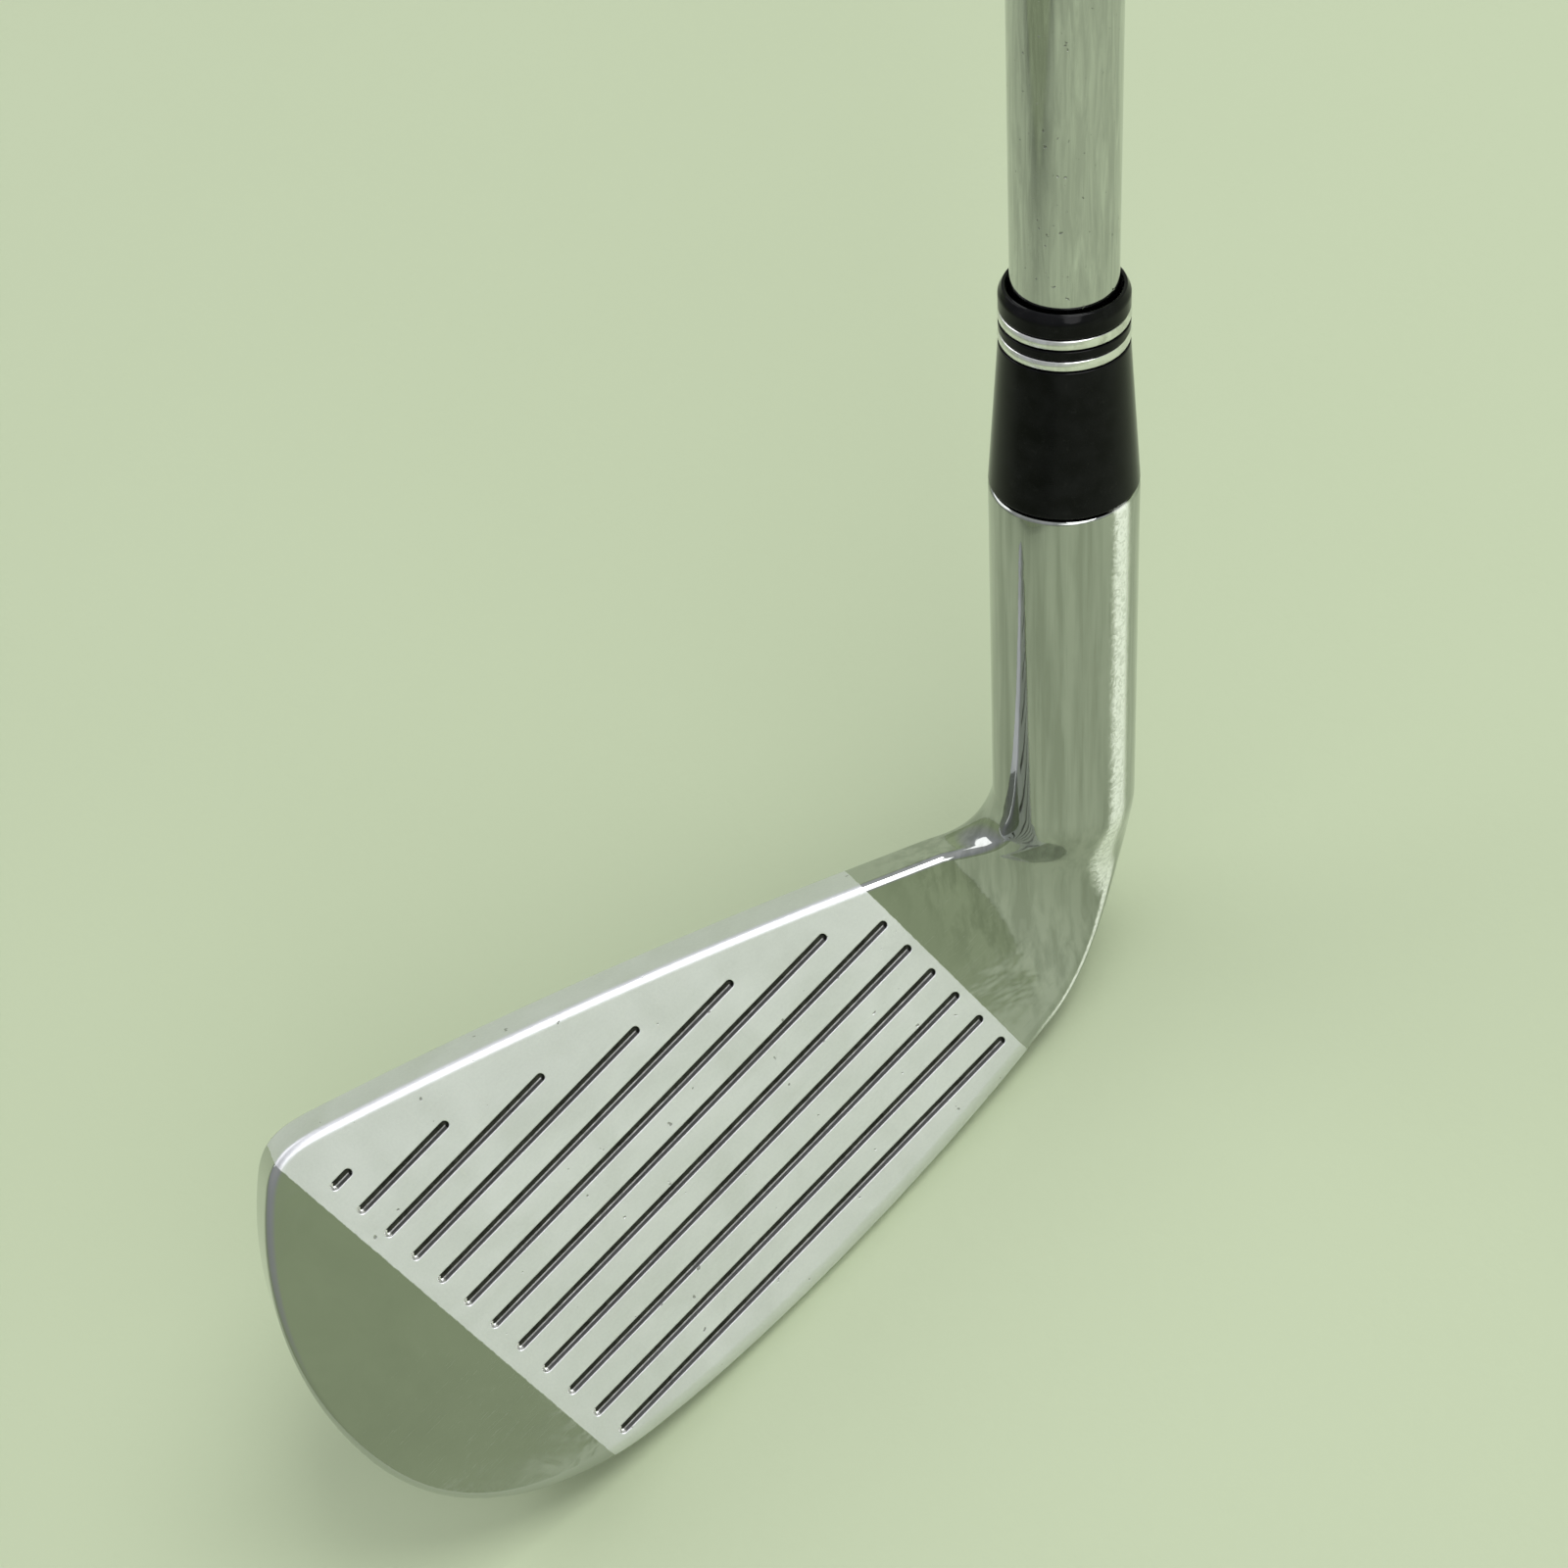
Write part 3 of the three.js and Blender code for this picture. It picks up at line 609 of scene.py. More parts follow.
def head_surface():
    toe = [
        TOE_POINT[0] + TOE_SPAN * (1 - math.cos(math.pi / 2 * k / TOE_STATIONS))
        for k in range(TOE_STATIONS + 1)
    ]
    blade = [
        lerp(TOE_POINT[0] + TOE_SPAN, FAN_FOOT_U, k / BLADE_STATIONS)
        for k in range(BLADE_STATIONS + 1)
    ]
    sections = [toe_station()]
    sections += [blade_station(u) for u in toe[1:] + blade[1:]]
    flat_end = len(sections) - 1
    sections += [fan_station(k / FAN_STATIONS) for k in range(1, FAN_STATIONS + 1)]
    chamfer = [
        (
            HOSEL_TOP - HOSEL_CHAMFER * (1 - math.sin(math.pi / 2 * k / 6)),
            HOSEL_RADIUS - HOSEL_CHAMFER * (1 - math.cos(math.pi / 2 * k / 6)),
        )
        for k in range(7)
    ]
    rings = [
        *chamfer,
        (HOSEL_TOP, BORE_RADIUS + 0.15),
        (HOSEL_TOP - 0.04, BORE_RADIUS + 0.04),
        (HOSEL_TOP - 0.15, BORE_RADIUS),
        (BORE_BOTTOM, BORE_RADIUS),
        (BORE_BOTTOM, 0.0),
    ]
    last = sections[-1][0][0] - AXIS_FOOT
    neck = last.dot(SHAFT_DIRECTION)
    rings = [(lerp(neck, rings[0][0], k / 8), HOSEL_RADIUS) for k in range(1, 8)] + rings
    sections += [hosel_ring(s, radius) for s, radius in rings]
    for section in sections:
        for side in section:
            side[:, 2] = np.maximum(side[:, 2], ORIGIN[2])

    surface = Surface()
    for i in range(1, len(sections)):
        for side in range(4):
            near, far = sections[i - 1][side], sections[i][side]
            if side == 0 and 1 < i <= flat_end:
                surface.strip(near[:2], far[:2])
                surface.strip(near[-2:], far[-2:])
            else:
                surface.strip(near, far)
    faces = [section[0] for section in sections[1 : flat_end + 1]]
    outline = [side[1] for side in faces]
    outline += list(faces[-1][2:-1])
    outline += [side[-2] for side in faces[:-1]][::-1]
    outline += list(faces[0][2:-2])[::-1]
    add_scored_face(surface, [(float(p[0]), float(p.dot(FACE_UP))) for p in outline])
    return surface


# ---------------------------------------------------------------- turned pieces

TURN_SEGMENTS = 128
ACROSS = np.array([math.sin(LIE), 0.0, -math.cos(LIE)])

# rings of a CAD node closer than this are one
SAME_RING = 0.06


def cad_corners(node):
    """The distinct (s, radius) rings of a turned CAD node, in order along the axis."""
    points = np.array([v.co for v in NODES[node].data.vertices]) * MM + ORIGIN - AXIS_FOOT
    s = points @ SHAFT_DIRECTION
    radius = np.linalg.norm(points - np.outer(s, SHAFT_DIRECTION), axis=1)
    rings = []
    for ring in sorted(zip(np.round(s, 2), np.round(radius, 2))):
        ring = (float(ring[0]), float(ring[1]))
        if all(math.dist(ring, other) > SAME_RING for other in rings[-4:]):
            rings.append(ring)
    return rings


def fillet(corners, steps=7):
    """Rounds a closed profile of (s, radius, fillet) corners."""
    points = []
    for i, (s, radius, size) in enumerate(corners):
        corner = np.array([s, radius], float)
        before = np.array(corners[i - 1][:2], float) - corner
        after = np.array(corners[(i + 1) % len(corners)][:2], float) - corner
        length_before, length_after = np.linalg.norm(before), np.linalg.norm(after)
        before, after = before / length_before, after / length_after
        half = math.acos(max(-1.0, min(1.0, before.dot(after)))) / 2
        if size == 0 or half > math.pi / 2 - 1e-3:
            points.append(corner)
            continue
        cut = min(size / math.tan(half), 0.45 * length_before, 0.45 * length_after)
        rounding = cut * math.tan(half)
        middle = before + after
        centre = corner + middle / np.linalg.norm(middle) * rounding / math.sin(half)
        start, end = corner + before * cut - centre, corner + after * cut - centre
        turn = math.pi - 2 * half
        for k in range(steps + 1):
            t = k / steps
            a, b = math.sin((1 - t) * turn) / math.sin(turn), math.sin(t * turn) / math.sin(turn)
            points.append(centre + a * start + b * end)
    return points


def held(points, margin=0.12):
    """Adds points near the ends of long straight runs, so that smooth shading stays in the corners."""
    result = []
    for i, point in enumerate(points):
        following = points[(i + 1) % len(points)]
        run = following - point
        length = np.linalg.norm(run)
        result.append(point)
        if length > 4 * margin:
            result.append(point + run / length * margin)
            result.append(following - run / length * margin)
    return result


def turned(profile):
    """A ring-shaped profile turned about the shaft's axis."""
    angles = np.arange(TURN_SEGMENTS) * 2 * math.pi / TURN_SEGMENTS
    around = np.outer(np.cos(angles), ACROSS) + np.outer(np.sin(angles), BACKWARD)
    rings = [axis_point(s) + radius * around for s, radius in profile]
    surface = Surface()
    for i, ring in enumerate(rings):
        surface.strip(rings[i - 1], ring, closed=True)
    return surface


# ---------------------------------------------------------------- materials


class Graph:
    """A short way to write a material's or world's nodes."""

    def __init__(self, tree):
        self.tree = tree
        tree.nodes.clear()

    def node(self, kind, inputs=None, **properties):
        made = self.tree.nodes.new("ShaderNode" + kind)
        for key, value in properties.items():
            setattr(made, key, value)
        for key, value in (inputs or {}).items():
            self.put(made.inputs[key], value)
        return made

    def put(self, socket, value):
        if isinstance(value, bpy.types.NodeSocket):
            self.tree.links.new(value, socket)
        elif value is not None:
            socket.default_value = value

    def math(self, operation, a, b=None, c=None, clamp=False):
        made = self.node("Math", operation=operation, use_clamp=clamp)
        for socket, value in zip(made.inputs, (a, b, c)):
            self.put(socket, value)
        return made.outputs[0]

    def dot(self, a, b):
        b = b if isinstance(b, bpy.types.NodeSocket) else tuple(b)
        return self.node("VectorMath", {0: a, 1: b}, operation="DOT_PRODUCT").outputs["Value"]

    def split(self, vector):
        return self.node("SeparateXYZ", {"Vector": vector}).outputs

    def mapped(self, value, low, high, to_low=0.0, to_high=1.0, smooth=False):
        kind = "SMOOTHSTEP" if smooth else "LINEAR"
        made = self.node("MapRange", interpolation_type=kind, clamp=True)
        for socket, part in zip(made.inputs, (value, low, high, to_low, to_high)):
            self.put(socket, part)
        return made.outputs[0]

    def noise(self, vector, scale, detail=2.0, roughness=0.5, distortion=0.0):
        made = self.node("TexNoise", noise_dimensions="3D")
        names = ("Vector", "Scale", "Detail", "Roughness", "Distortion")
        for name, value in zip(names, (vector, scale, detail, roughness, distortion)):
            self.put(made.inputs[name], value)
        return made.outputs["Fac"]

    def stretched(self, vector, scale):
        return self.node("Mapping", {"Vector": vector, "Scale": scale}).outputs[0]

    def ramp(self, value, stops):
        made = self.node("ValToRGB", {"Fac": value})
        elements = made.color_ramp.elements
        while len(elements) < len(stops):
            elements.new(0.5)
        for element, (position, colour) in zip(elements, stops):
            element.position = position
            element.color = (*colour, 1)
        return made.outputs["Color"]

    def mix(self, factor, a, b):
        made = self.node("Mix", data_type="RGBA")
        self.put(made.inputs[0], factor)
        self.put(made.inputs[6], (*a, 1) if isinstance(a, tuple) else a)
        self.put(made.inputs[7], (*b, 1) if isinstance(b, tuple) else b)
        return made.outputs[2]

    def bump(self, height, distance, strength=1.0, normal=None):
        made = self.node("Bump", {"Height": height, "Distance": distance / MM, "Strength": strength})
        self.put(made.inputs["Normal"], normal)
        return made.outputs[0]

    def surface(self, **inputs):
        shader = self.node("BsdfPrincipled")
        for name, value in inputs.items():
            self.put(shader.inputs[name.replace("_", " ")], value)
        output = self.node("OutputMaterial")
        self.tree.links.new(shader.outputs[0], output.inputs[0])


def new_material(name):
    material = bpy.data.materials.new(name)
    material.use_nodes = True
    return material, Graph(material.node_tree)


def face_coordinates(graph):
    """Millimetres in the face's own frame: u, v, n."""
    where = graph.node("TexCoord").outputs["Object"]
    return graph.node("Mapping", {
        "Vector": where,
        "Rotation": (LOFT - math.pi / 2, 0, 0),
        "Scale": (MM, MM, MM),
        "Location": (ORIGIN[0], ORIGIN.dot(FACE_UP), ORIGIN.dot(FACE_OUT)),
    }).outputs[0]


def axis_coordinates(graph):
    """Millimetres with Z along the shaft's axis."""
    where = graph.node("TexCoord").outputs["Object"]
    foot = AXIS_FOOT - ORIGIN
    return graph.node("Mapping", {
        "Vector": where,
        "Rotation": (0, LIE - math.pi / 2, 0),
        "Scale": (MM, MM, MM),
        "Location": (-foot.dot(ACROSS), -foot[1], -foot.dot(SHAFT_DIRECTION)),
    }).outputs[0]


# polished chrome on head and shaft, set to the photo and darker than real plate, and then
# the head's drawn streaks, painted highlight stripe and satin
CHROME_DARK = (0.41, 0.425, 0.41)
CHROME_LIGHT = (0.51, 0.525, 0.51)
STREAK_COLOUR = (0.27, 0.29, 0.26)
# near-white of the painted highlight stripe down the front of hosel and heel
PAINTED_HIGHLIGHT_COLOUR = (0.97, 0.98, 0.97)
SATIN_TONES = [
    (0.3, (0.72, 0.725, 0.755)),
    (0.5, (0.765, 0.77, 0.8)),
    (0.72, (0.81, 0.815, 0.84)),
]
SCUFF_COLOUR = (0.9, 0.9, 0.9)
NICK_COLOUR = (0.2, 0.2, 0.19)


def turn_from_stripe(graph):
    """Which way the surface faces round the tube, less where the painted highlight's middle faces."""
    pivot = PIVOT - flat(ORIGIN)
    arm = graph.node("VectorMath", {
        0: graph.node("TexCoord").outputs["Object"],
        1: (MM, 0, MM),
        2: (-pivot[0], 0, -pivot[1]),
    }, operation="MULTIPLY_ADD").outputs["Vector"]
    height = graph.dot(arm, SHAFT_DIRECTION)
    rise = graph.math("MAXIMUM", height, 0.0)
    climb = graph.node("VectorMath", {0: tuple(SHAFT_DIRECTION), "Scale": rise}, operation="SCALE")
    level = graph.node("VectorMath", {0: arm, 1: climb.outputs["Vector"]}, operation="SUBTRACT")
    outward = graph.node("VectorMath", {0: level.outputs["Vector"]}, operation="NORMALIZE")
    normal = graph.node("NewGeometry").outputs["Normal"]
    turn = graph.math(
        "ARCTAN2", graph.dot(normal, outward.outputs["Vector"]), graph.dot(normal, (0, -1, 0))
    )
    middle = graph.mapped(height, -HIGHLIGHT_HEEL_REACH, 0.0, HIGHLIGHT_TURN_HEEL, HIGHLIGHT_TURN_HOSEL)
    return graph.math("SUBTRACT", turn, middle)


def chrome_parts(graph, place, along_scale=(1, 1, 1)):
    """Colour, roughness and normal of polished chrome: waviness, haze, wipe marks and hairlines."""
    haze = graph.noise(place, 0.09, 4.0, 0.62, 0.6)
    smudge = graph.mapped(graph.noise(place, 0.35, 5.0, 0.7, 1.2), 0.55, 0.78)
    hair = graph.noise(graph.stretched(place, (0.25, 7.0, 7.0)), 1.0, 3.0, 0.7)
    hairlines = graph.mapped(hair, 0.62, 0.72)
    colour = graph.mix(haze, CHROME_DARK, CHROME_LIGHT)
    rough = graph.math(
        "ADD", graph.mapped(haze, 0.3, 0.75, 0.035, 0.075), graph.math("MULTIPLY", smudge, 0.05)
    )
    wave = graph.noise(graph.stretched(place, along_scale), 0.16, 3.0, 0.5, 0.4)
    normal = graph.bump(wave, 0.035)
    normal = graph.bump(hairlines, 0.0006, normal=normal)
    return colour, rough, normal


def head_chrome():
    """Polished chrome with a blasted band across the face and a painted highlight stripe on hosel and
    heel.
    """
    material, graph = new_material("head_chrome_finish")
    place = face_coordinates(graph)
    u, v, n = graph.split(place)
    wobble = graph.math("MULTIPLY", graph.math("SUBTRACT", graph.noise(place, 1.6, 2.0), 0.5), 0.16)
    edge_u = graph.math("ADD", u, wobble)
    from_toe = graph.mapped(edge_u, SATIN_TOE - 0.05, SATIN_TOE + 0.05)
    to_heel = graph.mapped(edge_u, SATIN_HEEL - 0.05, SATIN_HEEL + 0.05, 1.0, 0.0)
    reach = graph.mapped(v, 2.0, 8.0, SATIN_UNDER, SATIN_OVER)
    wrapped = graph.mapped(graph.math("SUBTRACT", n, reach), -0.1, 0.1)
    satin = graph.math("MULTIPLY", graph.math("MULTIPLY", from_toe, to_heel), wrapped)

    colour, rough, polished = chrome_parts(graph, place)
    on_hosel = graph.mapped(u, STREAKS_AND_HIGHLIGHT_FROM - 2, STREAKS_AND_HIGHLIGHT_FROM + 3)
    drawn = graph.noise(graph.stretched(axis_coordinates(graph), (1.0, 1.0, 0.05)), 0.75, 4.0, 0.6, 0.3)
    streaks = graph.math("MULTIPLY", graph.mapped(drawn, 0.42, 0.62), on_hosel)
    colour = graph.mix(graph.math("MULTIPLY", streaks, 0.55), colour, STREAK_COLOUR)
    # painted highlight: a near-white, less metallic stripe where hosel and heel face the front, its edge
    # and strength broken up by noise
    highlight_noise = graph.noise(place, 1.15, 4.0, 0.62, 1.6)
    turn = graph.math("ADD", turn_from_stripe(graph), graph.mapped(highlight_noise, 0.3, 0.7, -0.03, 0.03))
    away = graph.math("ABSOLUTE", turn)
    painted_highlight = graph.mapped(away, HIGHLIGHT_CORE, HIGHLIGHT_FADE, 1.0, 0.0, smooth=True)
    painted_highlight = graph.math("MULTIPLY", painted_highlight, graph.mapped(highlight_noise, 0.36, 0.56, 0.7, 1.0))
    painted_highlight = graph.math("MULTIPLY", painted_highlight, on_hosel)
    colour = graph.mix(painted_highlight, colour, PAINTED_HIGHLIGHT_COLOUR)
    rough = graph.math("ADD", rough, graph.math("MULTIPLY", painted_highlight, 0.2))
    cloud = graph.noise(place, 0.12, 5.0, 0.6, 0.8)
    grain = graph.noise(place, 3.4, 3.0, 0.7)
    speck = graph.noise(place, 0.95, 2.0, 0.4)
    nicks = graph.math("MULTIPLY", graph.mapped(speck, 0.735, 0.76), satin)
    scuff = graph.noise(graph.stretched(place, (0.8, 0.09, 0.8)), 2.2, 4.0, 0.65, 0.5)
    scuffs = graph.mapped(scuff, 0.62, 0.78)
    tone = graph.math("ADD", graph.math("MULTIPLY", cloud, 0.55), graph.math("MULTIPLY", grain, 0.45))
    blasted = graph.ramp(tone, SATIN_TONES)
    blasted = graph.mix(graph.math("MULTIPLY", scuffs, 0.25), blasted, SCUFF_COLOUR)
    blasted = graph.mix(graph.math("MULTIPLY", nicks, 0.65), blasted, NICK_COLOUR)
    blasted_rough = graph.mapped(cloud, 0.3, 0.7, 0.43, 0.5)
    blasted_rough = graph.math("SUBTRACT", blasted_rough, graph.math("MULTIPLY", scuffs, 0.08))

    pits = graph.math("MULTIPLY", grain, satin)
    normal = graph.bump(pits, 0.012, normal=polished)
    normal = graph.bump(graph.math("SUBTRACT", 1.0, nicks), 0.05, normal=normal)
    graph.surface(
        Base_Color=graph.mix(satin, colour, blasted),
        # less metallic in the painted highlight, so that it shows white
        Metallic=graph.mapped(painted_highlight, 0.0, 1.0, 1.0, 0.35),
        Roughness=graph.math(
            "ADD", rough, graph.math("MULTIPLY", satin, graph.math("SUBTRACT", blasted_rough, rough))
        ),
        Normal=normal,
    )
    return material


def groove_finish(name, light_tone, dark_tone):
    """A wall of the score lines: milled, with patchy dirt, and painted shade that darkens it towards the
    floor.
    """
    material, graph = new_material(name)
    place = face_coordinates(graph)
    depth = graph.mapped(graph.split(place)[2], -SCORE_DEPTH, -0.05)
    dirt = graph.noise(place, 1.1, 5.0, 0.7, 0.4)
    milling = graph.noise(graph.stretched(place, (0.6, 9.0, 9.0)), 1.0, 3.0, 0.6)
    # patchy dirt, times painted shade that grows towards the groove's floor
    dirt_and_shade = graph.math(
        "MULTIPLY",
        graph.mapped(dirt, 0.35, 0.65, 0.4, 1.0),
        graph.mapped(depth, 0.0, 1.0, 1.0, 0.4),
    )
    graph.surface(
        Base_Color=graph.mix(dirt_and_shade, light_tone, dark_tone),
        Metallic=1.0,
        Roughness=graph.mapped(dirt, 0.3, 0.7, 0.3, 0.45),
        Normal=graph.bump(milling, 0.01),
    )
    return material


def shaft_chrome():
    """Polished chrome with streaks along the shaft and small pits."""
    material, graph = new_material("shaft_chrome_finish")
    place = axis_coordinates(graph)
    colour, rough, normal = chrome_parts(graph, place, (1.6, 1.6, 0.25))
    streak = graph.noise(graph.stretched(place, (1.5, 1.5, 0.12)), 1.0, 5.0, 0.65, 0.8)
    colour = graph.mix(graph.mapped(streak, 0.4, 0.7), colour, (0.62, 0.64, 0.62))
    pits = graph.mapped(graph.noise(place, 1.7, 2.0, 0.4), 0.72, 0.76)
    colour = graph.mix(graph.math("MULTIPLY", pits, 0.6), colour, (0.12, 0.12, 0.11))
    graph.surface(
        Base_Color=colour,
        Metallic=1.0,
        Roughness=graph.math("ADD", rough, graph.math("MULTIPLY", graph.mapped(streak, 0.45, 0.75), 0.06)),
        Normal=graph.bump(graph.math("SUBTRACT", 1.0, pits), 0.02, normal=normal),
    )
    return material


def ring_silver():
    """Bright turned metal with a little tarnish."""
    material, graph = new_material("ring_silver_finish")
    place = axis_coordinates(graph)
    turning = graph.noise(graph.stretched(place, (0.3, 0.3, 26.0)), 1.0, 2.0)
    tarnish = graph.noise(place, 0.7, 4.0, 0.6, 0.8)
    graph.surface(
        Base_Color=graph.mix(graph.mapped(tarnish, 0.45, 0.75), (0.86, 0.865, 0.86), (0.6, 0.6, 0.57)),
        Metallic=1.0,
        Roughness=graph.mapped(tarnish, 0.3, 0.7, 0.16, 0.3),
        Normal=graph.bump(turning, 0.004),
    )
    return material


def ferrule_black():
    """Buffed black plastic with a little dust."""
    material, graph = new_material("ferrule_black_finish")
    place = axis_coordinates(graph)
    dust = graph.mapped(graph.noise(place, 1.3, 6.0, 0.72, 0.6), 0.58, 0.82)
    buffing = graph.noise(graph.stretched(place, (0.5, 0.5, 14.0)), 1.0, 3.0)
    cloud = graph.noise(place, 0.5, 3.0)
    colour = graph.mix(graph.mapped(cloud, 0.35, 0.7), (0.002, 0.002, 0.0025), (0.006, 0.006, 0.007))
    graph.surface(
        Base_Color=graph.mix(graph.math("MULTIPLY", dust, 0.035), colour, (0.3, 0.3, 0.28)),
        Roughness=graph.math(
            "ADD", graph.mapped(cloud, 0.3, 0.7, 0.06, 0.12), graph.math("MULTIPLY", dust, 0.14)
        ),
        IOR=1.22,
        Normal=graph.bump(buffing, 0.0025),
    )
    return material


def grip_rubber():
    """Matt moulded rubber, polished in patches by the hands, with dust."""
    material, graph = new_material("grip_rubber_finish")
    place = axis_coordinates(graph)
    grain = graph.noise(place, 2.6, 4.0, 0.65)
    wear = graph.mapped(graph.noise(place, 0.05, 4.0, 0.6, 0.5), 0.48, 0.72)
    dust = graph.mapped(graph.noise(place, 0.5, 6.0, 0.75), 0.58, 0.8)
    colour = graph.mix(grain, (0.014, 0.014, 0.015), (0.034, 0.034, 0.036))
    colour = graph.mix(graph.math("MULTIPLY", dust, 0.3), colour, (0.13, 0.125, 0.115))
    rough = graph.mapped(grain, 0.3, 0.7, 0.62, 0.82)
    graph.surface(
        Base_Color=colour,
        Roughness=graph.math("SUBTRACT", rough, graph.math("MULTIPLY", wear, 0.18)),
        Specular_IOR_Level=0.45,
        Normal=graph.bump(grain, 0.03),
    )
    return material


def epoxy():
    """Cured resin with swirls and small bubbles."""
    material, graph = new_material("epoxy_finish")
    place = axis_coordinates(graph)
    swirl = graph.noise(place, 0.5, 4.0, 0.6, 2.0)
    bubbles = graph.node("TexVoronoi", {"Vector": place, "Scale": 1.6}).outputs["Distance"]
    hollow = graph.mapped(bubbles, 0.05, 0.2)
    graph.surface(
        Base_Color=graph.mix(swirl, (0.6, 0.52, 0.33), (0.8, 0.74, 0.56)),
        Roughness=graph.mapped(swirl, 0.3, 0.7, 0.3, 0.5),
        Normal=graph.bump(hollow, 0.05),
    )
    return material


def brass():
    """Turned brass, stained."""
    material, graph = new_material("brass_finish")
    place = axis_coordinates(graph)
    turning = graph.noise(graph.stretched(place, (0.4, 0.4, 9.0)), 1.0, 3.0)
    stain = graph.noise(place, 0.4, 4.0, 0.6, 0.8)
    graph.surface(
        Base_Color=graph.mix(graph.mapped(stain, 0.35, 0.7), (0.72, 0.57, 0.28), (0.42, 0.31, 0.15)),
        Metallic=1.0,
        Roughness=graph.mapped(stain, 0.3, 0.7, 0.25, 0.45),
        Normal=graph.bump(turning, 0.02),
    )
    return material


def tape():
    """Creased paper tape."""
    material, graph = new_material("tape_finish")
    place = axis_coordinates(graph)
    fibre = graph.noise(graph.stretched(place, (1.0, 1.0, 0.35)), 3.0, 5.0, 0.7)
    crease = graph.noise(graph.stretched(place, (0.3, 0.3, 0.05)), 1.0, 4.0, 0.6, 1.0)
    graph.surface(
        Base_Color=graph.mix(fibre, (0.62, 0.55, 0.42), (0.78, 0.72, 0.6)),
        Roughness=graph.mapped(fibre, 0.3, 0.7, 0.75, 0.95),
        Normal=graph.bump(graph.math("ADD", fibre, graph.mapped(crease, 0.6, 0.66)), 0.05),
    )
    return material


# ---------------------------------------------------------------- pieces

RUBBER = grip_rubber()
BLACK = ferrule_black()
SILVER = ring_silver()

HEAD_FINISHES = [
    head_chrome(),
    groove_finish("score_line_finish", (0.44, 0.44, 0.435), (0.2, 0.2, 0.195)),
    # painted shade for the score lines' upper walls, floors and heel ends, and a painted highlight for
    # their toe ends
    groove_finish("score_line_painted_shade", (0.09, 0.09, 0.085), (0.025, 0.025, 0.022)),
    groove_finish("score_line_toe_painted_highlight", (0.96, 0.96, 0.95), (0.7, 0.7, 0.69)),
]
head = make_object("forged_head", head_surface(), ORIGIN, HEAD_FINISHES)
stand_for(head, "head")


def turned_piece(name, node, material, corners):
    surface = turned(held(fillet(corners)))
    return stand_for(make_object(name, surface, ORIGIN, [material]), node)


def outside_of(corners):
    """The rings of the outside, where a piece only grows towards the butt, and the bore's radius."""
    outside = []
    for s in sorted({s for s, _ in corners}):
        radius = max(r for at, r in corners if at == s)
        if not outside or radius >= outside[-1][1] - 0.05:
            outside.append((s, radius))
    return outside


SHAFT = cad_corners("shaft")
shaft_outside = outside_of(SHAFT)
shaft_inside = sorted(set(SHAFT) - set(shaft_outside))
turned_piece(
    "stepped_shaft",
    "shaft",
    shaft_chrome(),
    [(s, r, 0.25 if 0 < i < len(shaft_outside) - 1 else 0.15) for i, (s, r) in enumerate(shaft_outside)]
    + [(s, r, 0.08) for s, r in reversed(shaft_inside)],
)


def collar(name, node, material, lower, upper, crown=0.0):
    """A short ring of the ferrule with rounded ends; crown is how far its middle bulges."""
    corners = cad_corners(node)
    low, high = corners[0][0], corners[-1][0]
    bore = min(r for _, r in corners)
    at_low = max(r for s, r in corners if s == low)
    at_high = max(r for s, r in corners if s == high)
    profile = [(low, bore, 0.05), (low, at_low, lower)]
    if crown:
        middle = (low + high) / 2
        profile = [(low, bore, 0.05), (low, at_low - crown, lower), (middle, at_low, 0.6)]
    profile += [(high, at_high - crown, upper), (high, bore, 0.05)]
    return turned_piece(name, node, material, profile)


collar("ferrule_sleeve", "ferrule_body", BLACK, 0.15, 0.12)
collar("silver_ring_lower", "ferrule_ring_lower", SILVER, 0.15, 0.15, 0.14)
collar("ferrule_spacer_ring", "ferrule_spacer", BLACK, 0.1, 0.1)
collar("silver_ring_upper", "ferrule_ring_upper", SILVER, 0.15, 0.15, 0.14)

CAP = cad_corners("ferrule_cap")
cap_bore = min(r for _, r in CAP)
cap_rings = [ring for ring in CAP if ring[1] > cap_bore]
cap_low, cap_high = CAP[0][0], CAP[-1][0]
turned_piece(
    "ferrule_end",
    "ferrule_cap",
    BLACK,
    [
        (cap_low, cap_bore, 0.05),
        (cap_low, cap_rings[0][1], 0.12),
        (cap_rings[1][0], cap_rings[1][1], 0.9),
        (cap_high, cap_rings[-1][1], 0.12),
        (cap_high, cap_bore, 0.08),
    ],
)

# ---------------------------------------------------------------- grip

GRIP = cad_corners("grip_sleeve")
GRIP_BORE = min(r for _, r in GRIP)
GRIP_LOW, GRIP_HIGH = GRIP[0][0], GRIP[-1][0]
MOUTH_RADIUS = max(r for s, r in GRIP if s == GRIP_LOW)
BUTT_RADIUS = max(r for s, r in GRIP if s == GRIP_HIGH)
GRIP_LIP = 3.0
GRIP_SEGMENTS = 168
GRIP_RINGS = 620
MOUTH_ROUNDING = 0.6
MOUTH_STEPS = 6
BUTT_INSET = 0.02
PATTERN_DEPTH = 0.42
PATTERN_TURNS = 14
PATTERN_PITCH = 9.0
# share of the pitch at which a spiral's groove leaves its floor and reaches the surface
PATTERN_FLOOR = 0.1
PATTERN_RIM = 0.24
# plain band at each end of the grip, and the length over which the pattern fades in
BAND_LENGTH = 10.0
BAND_FADE = 3


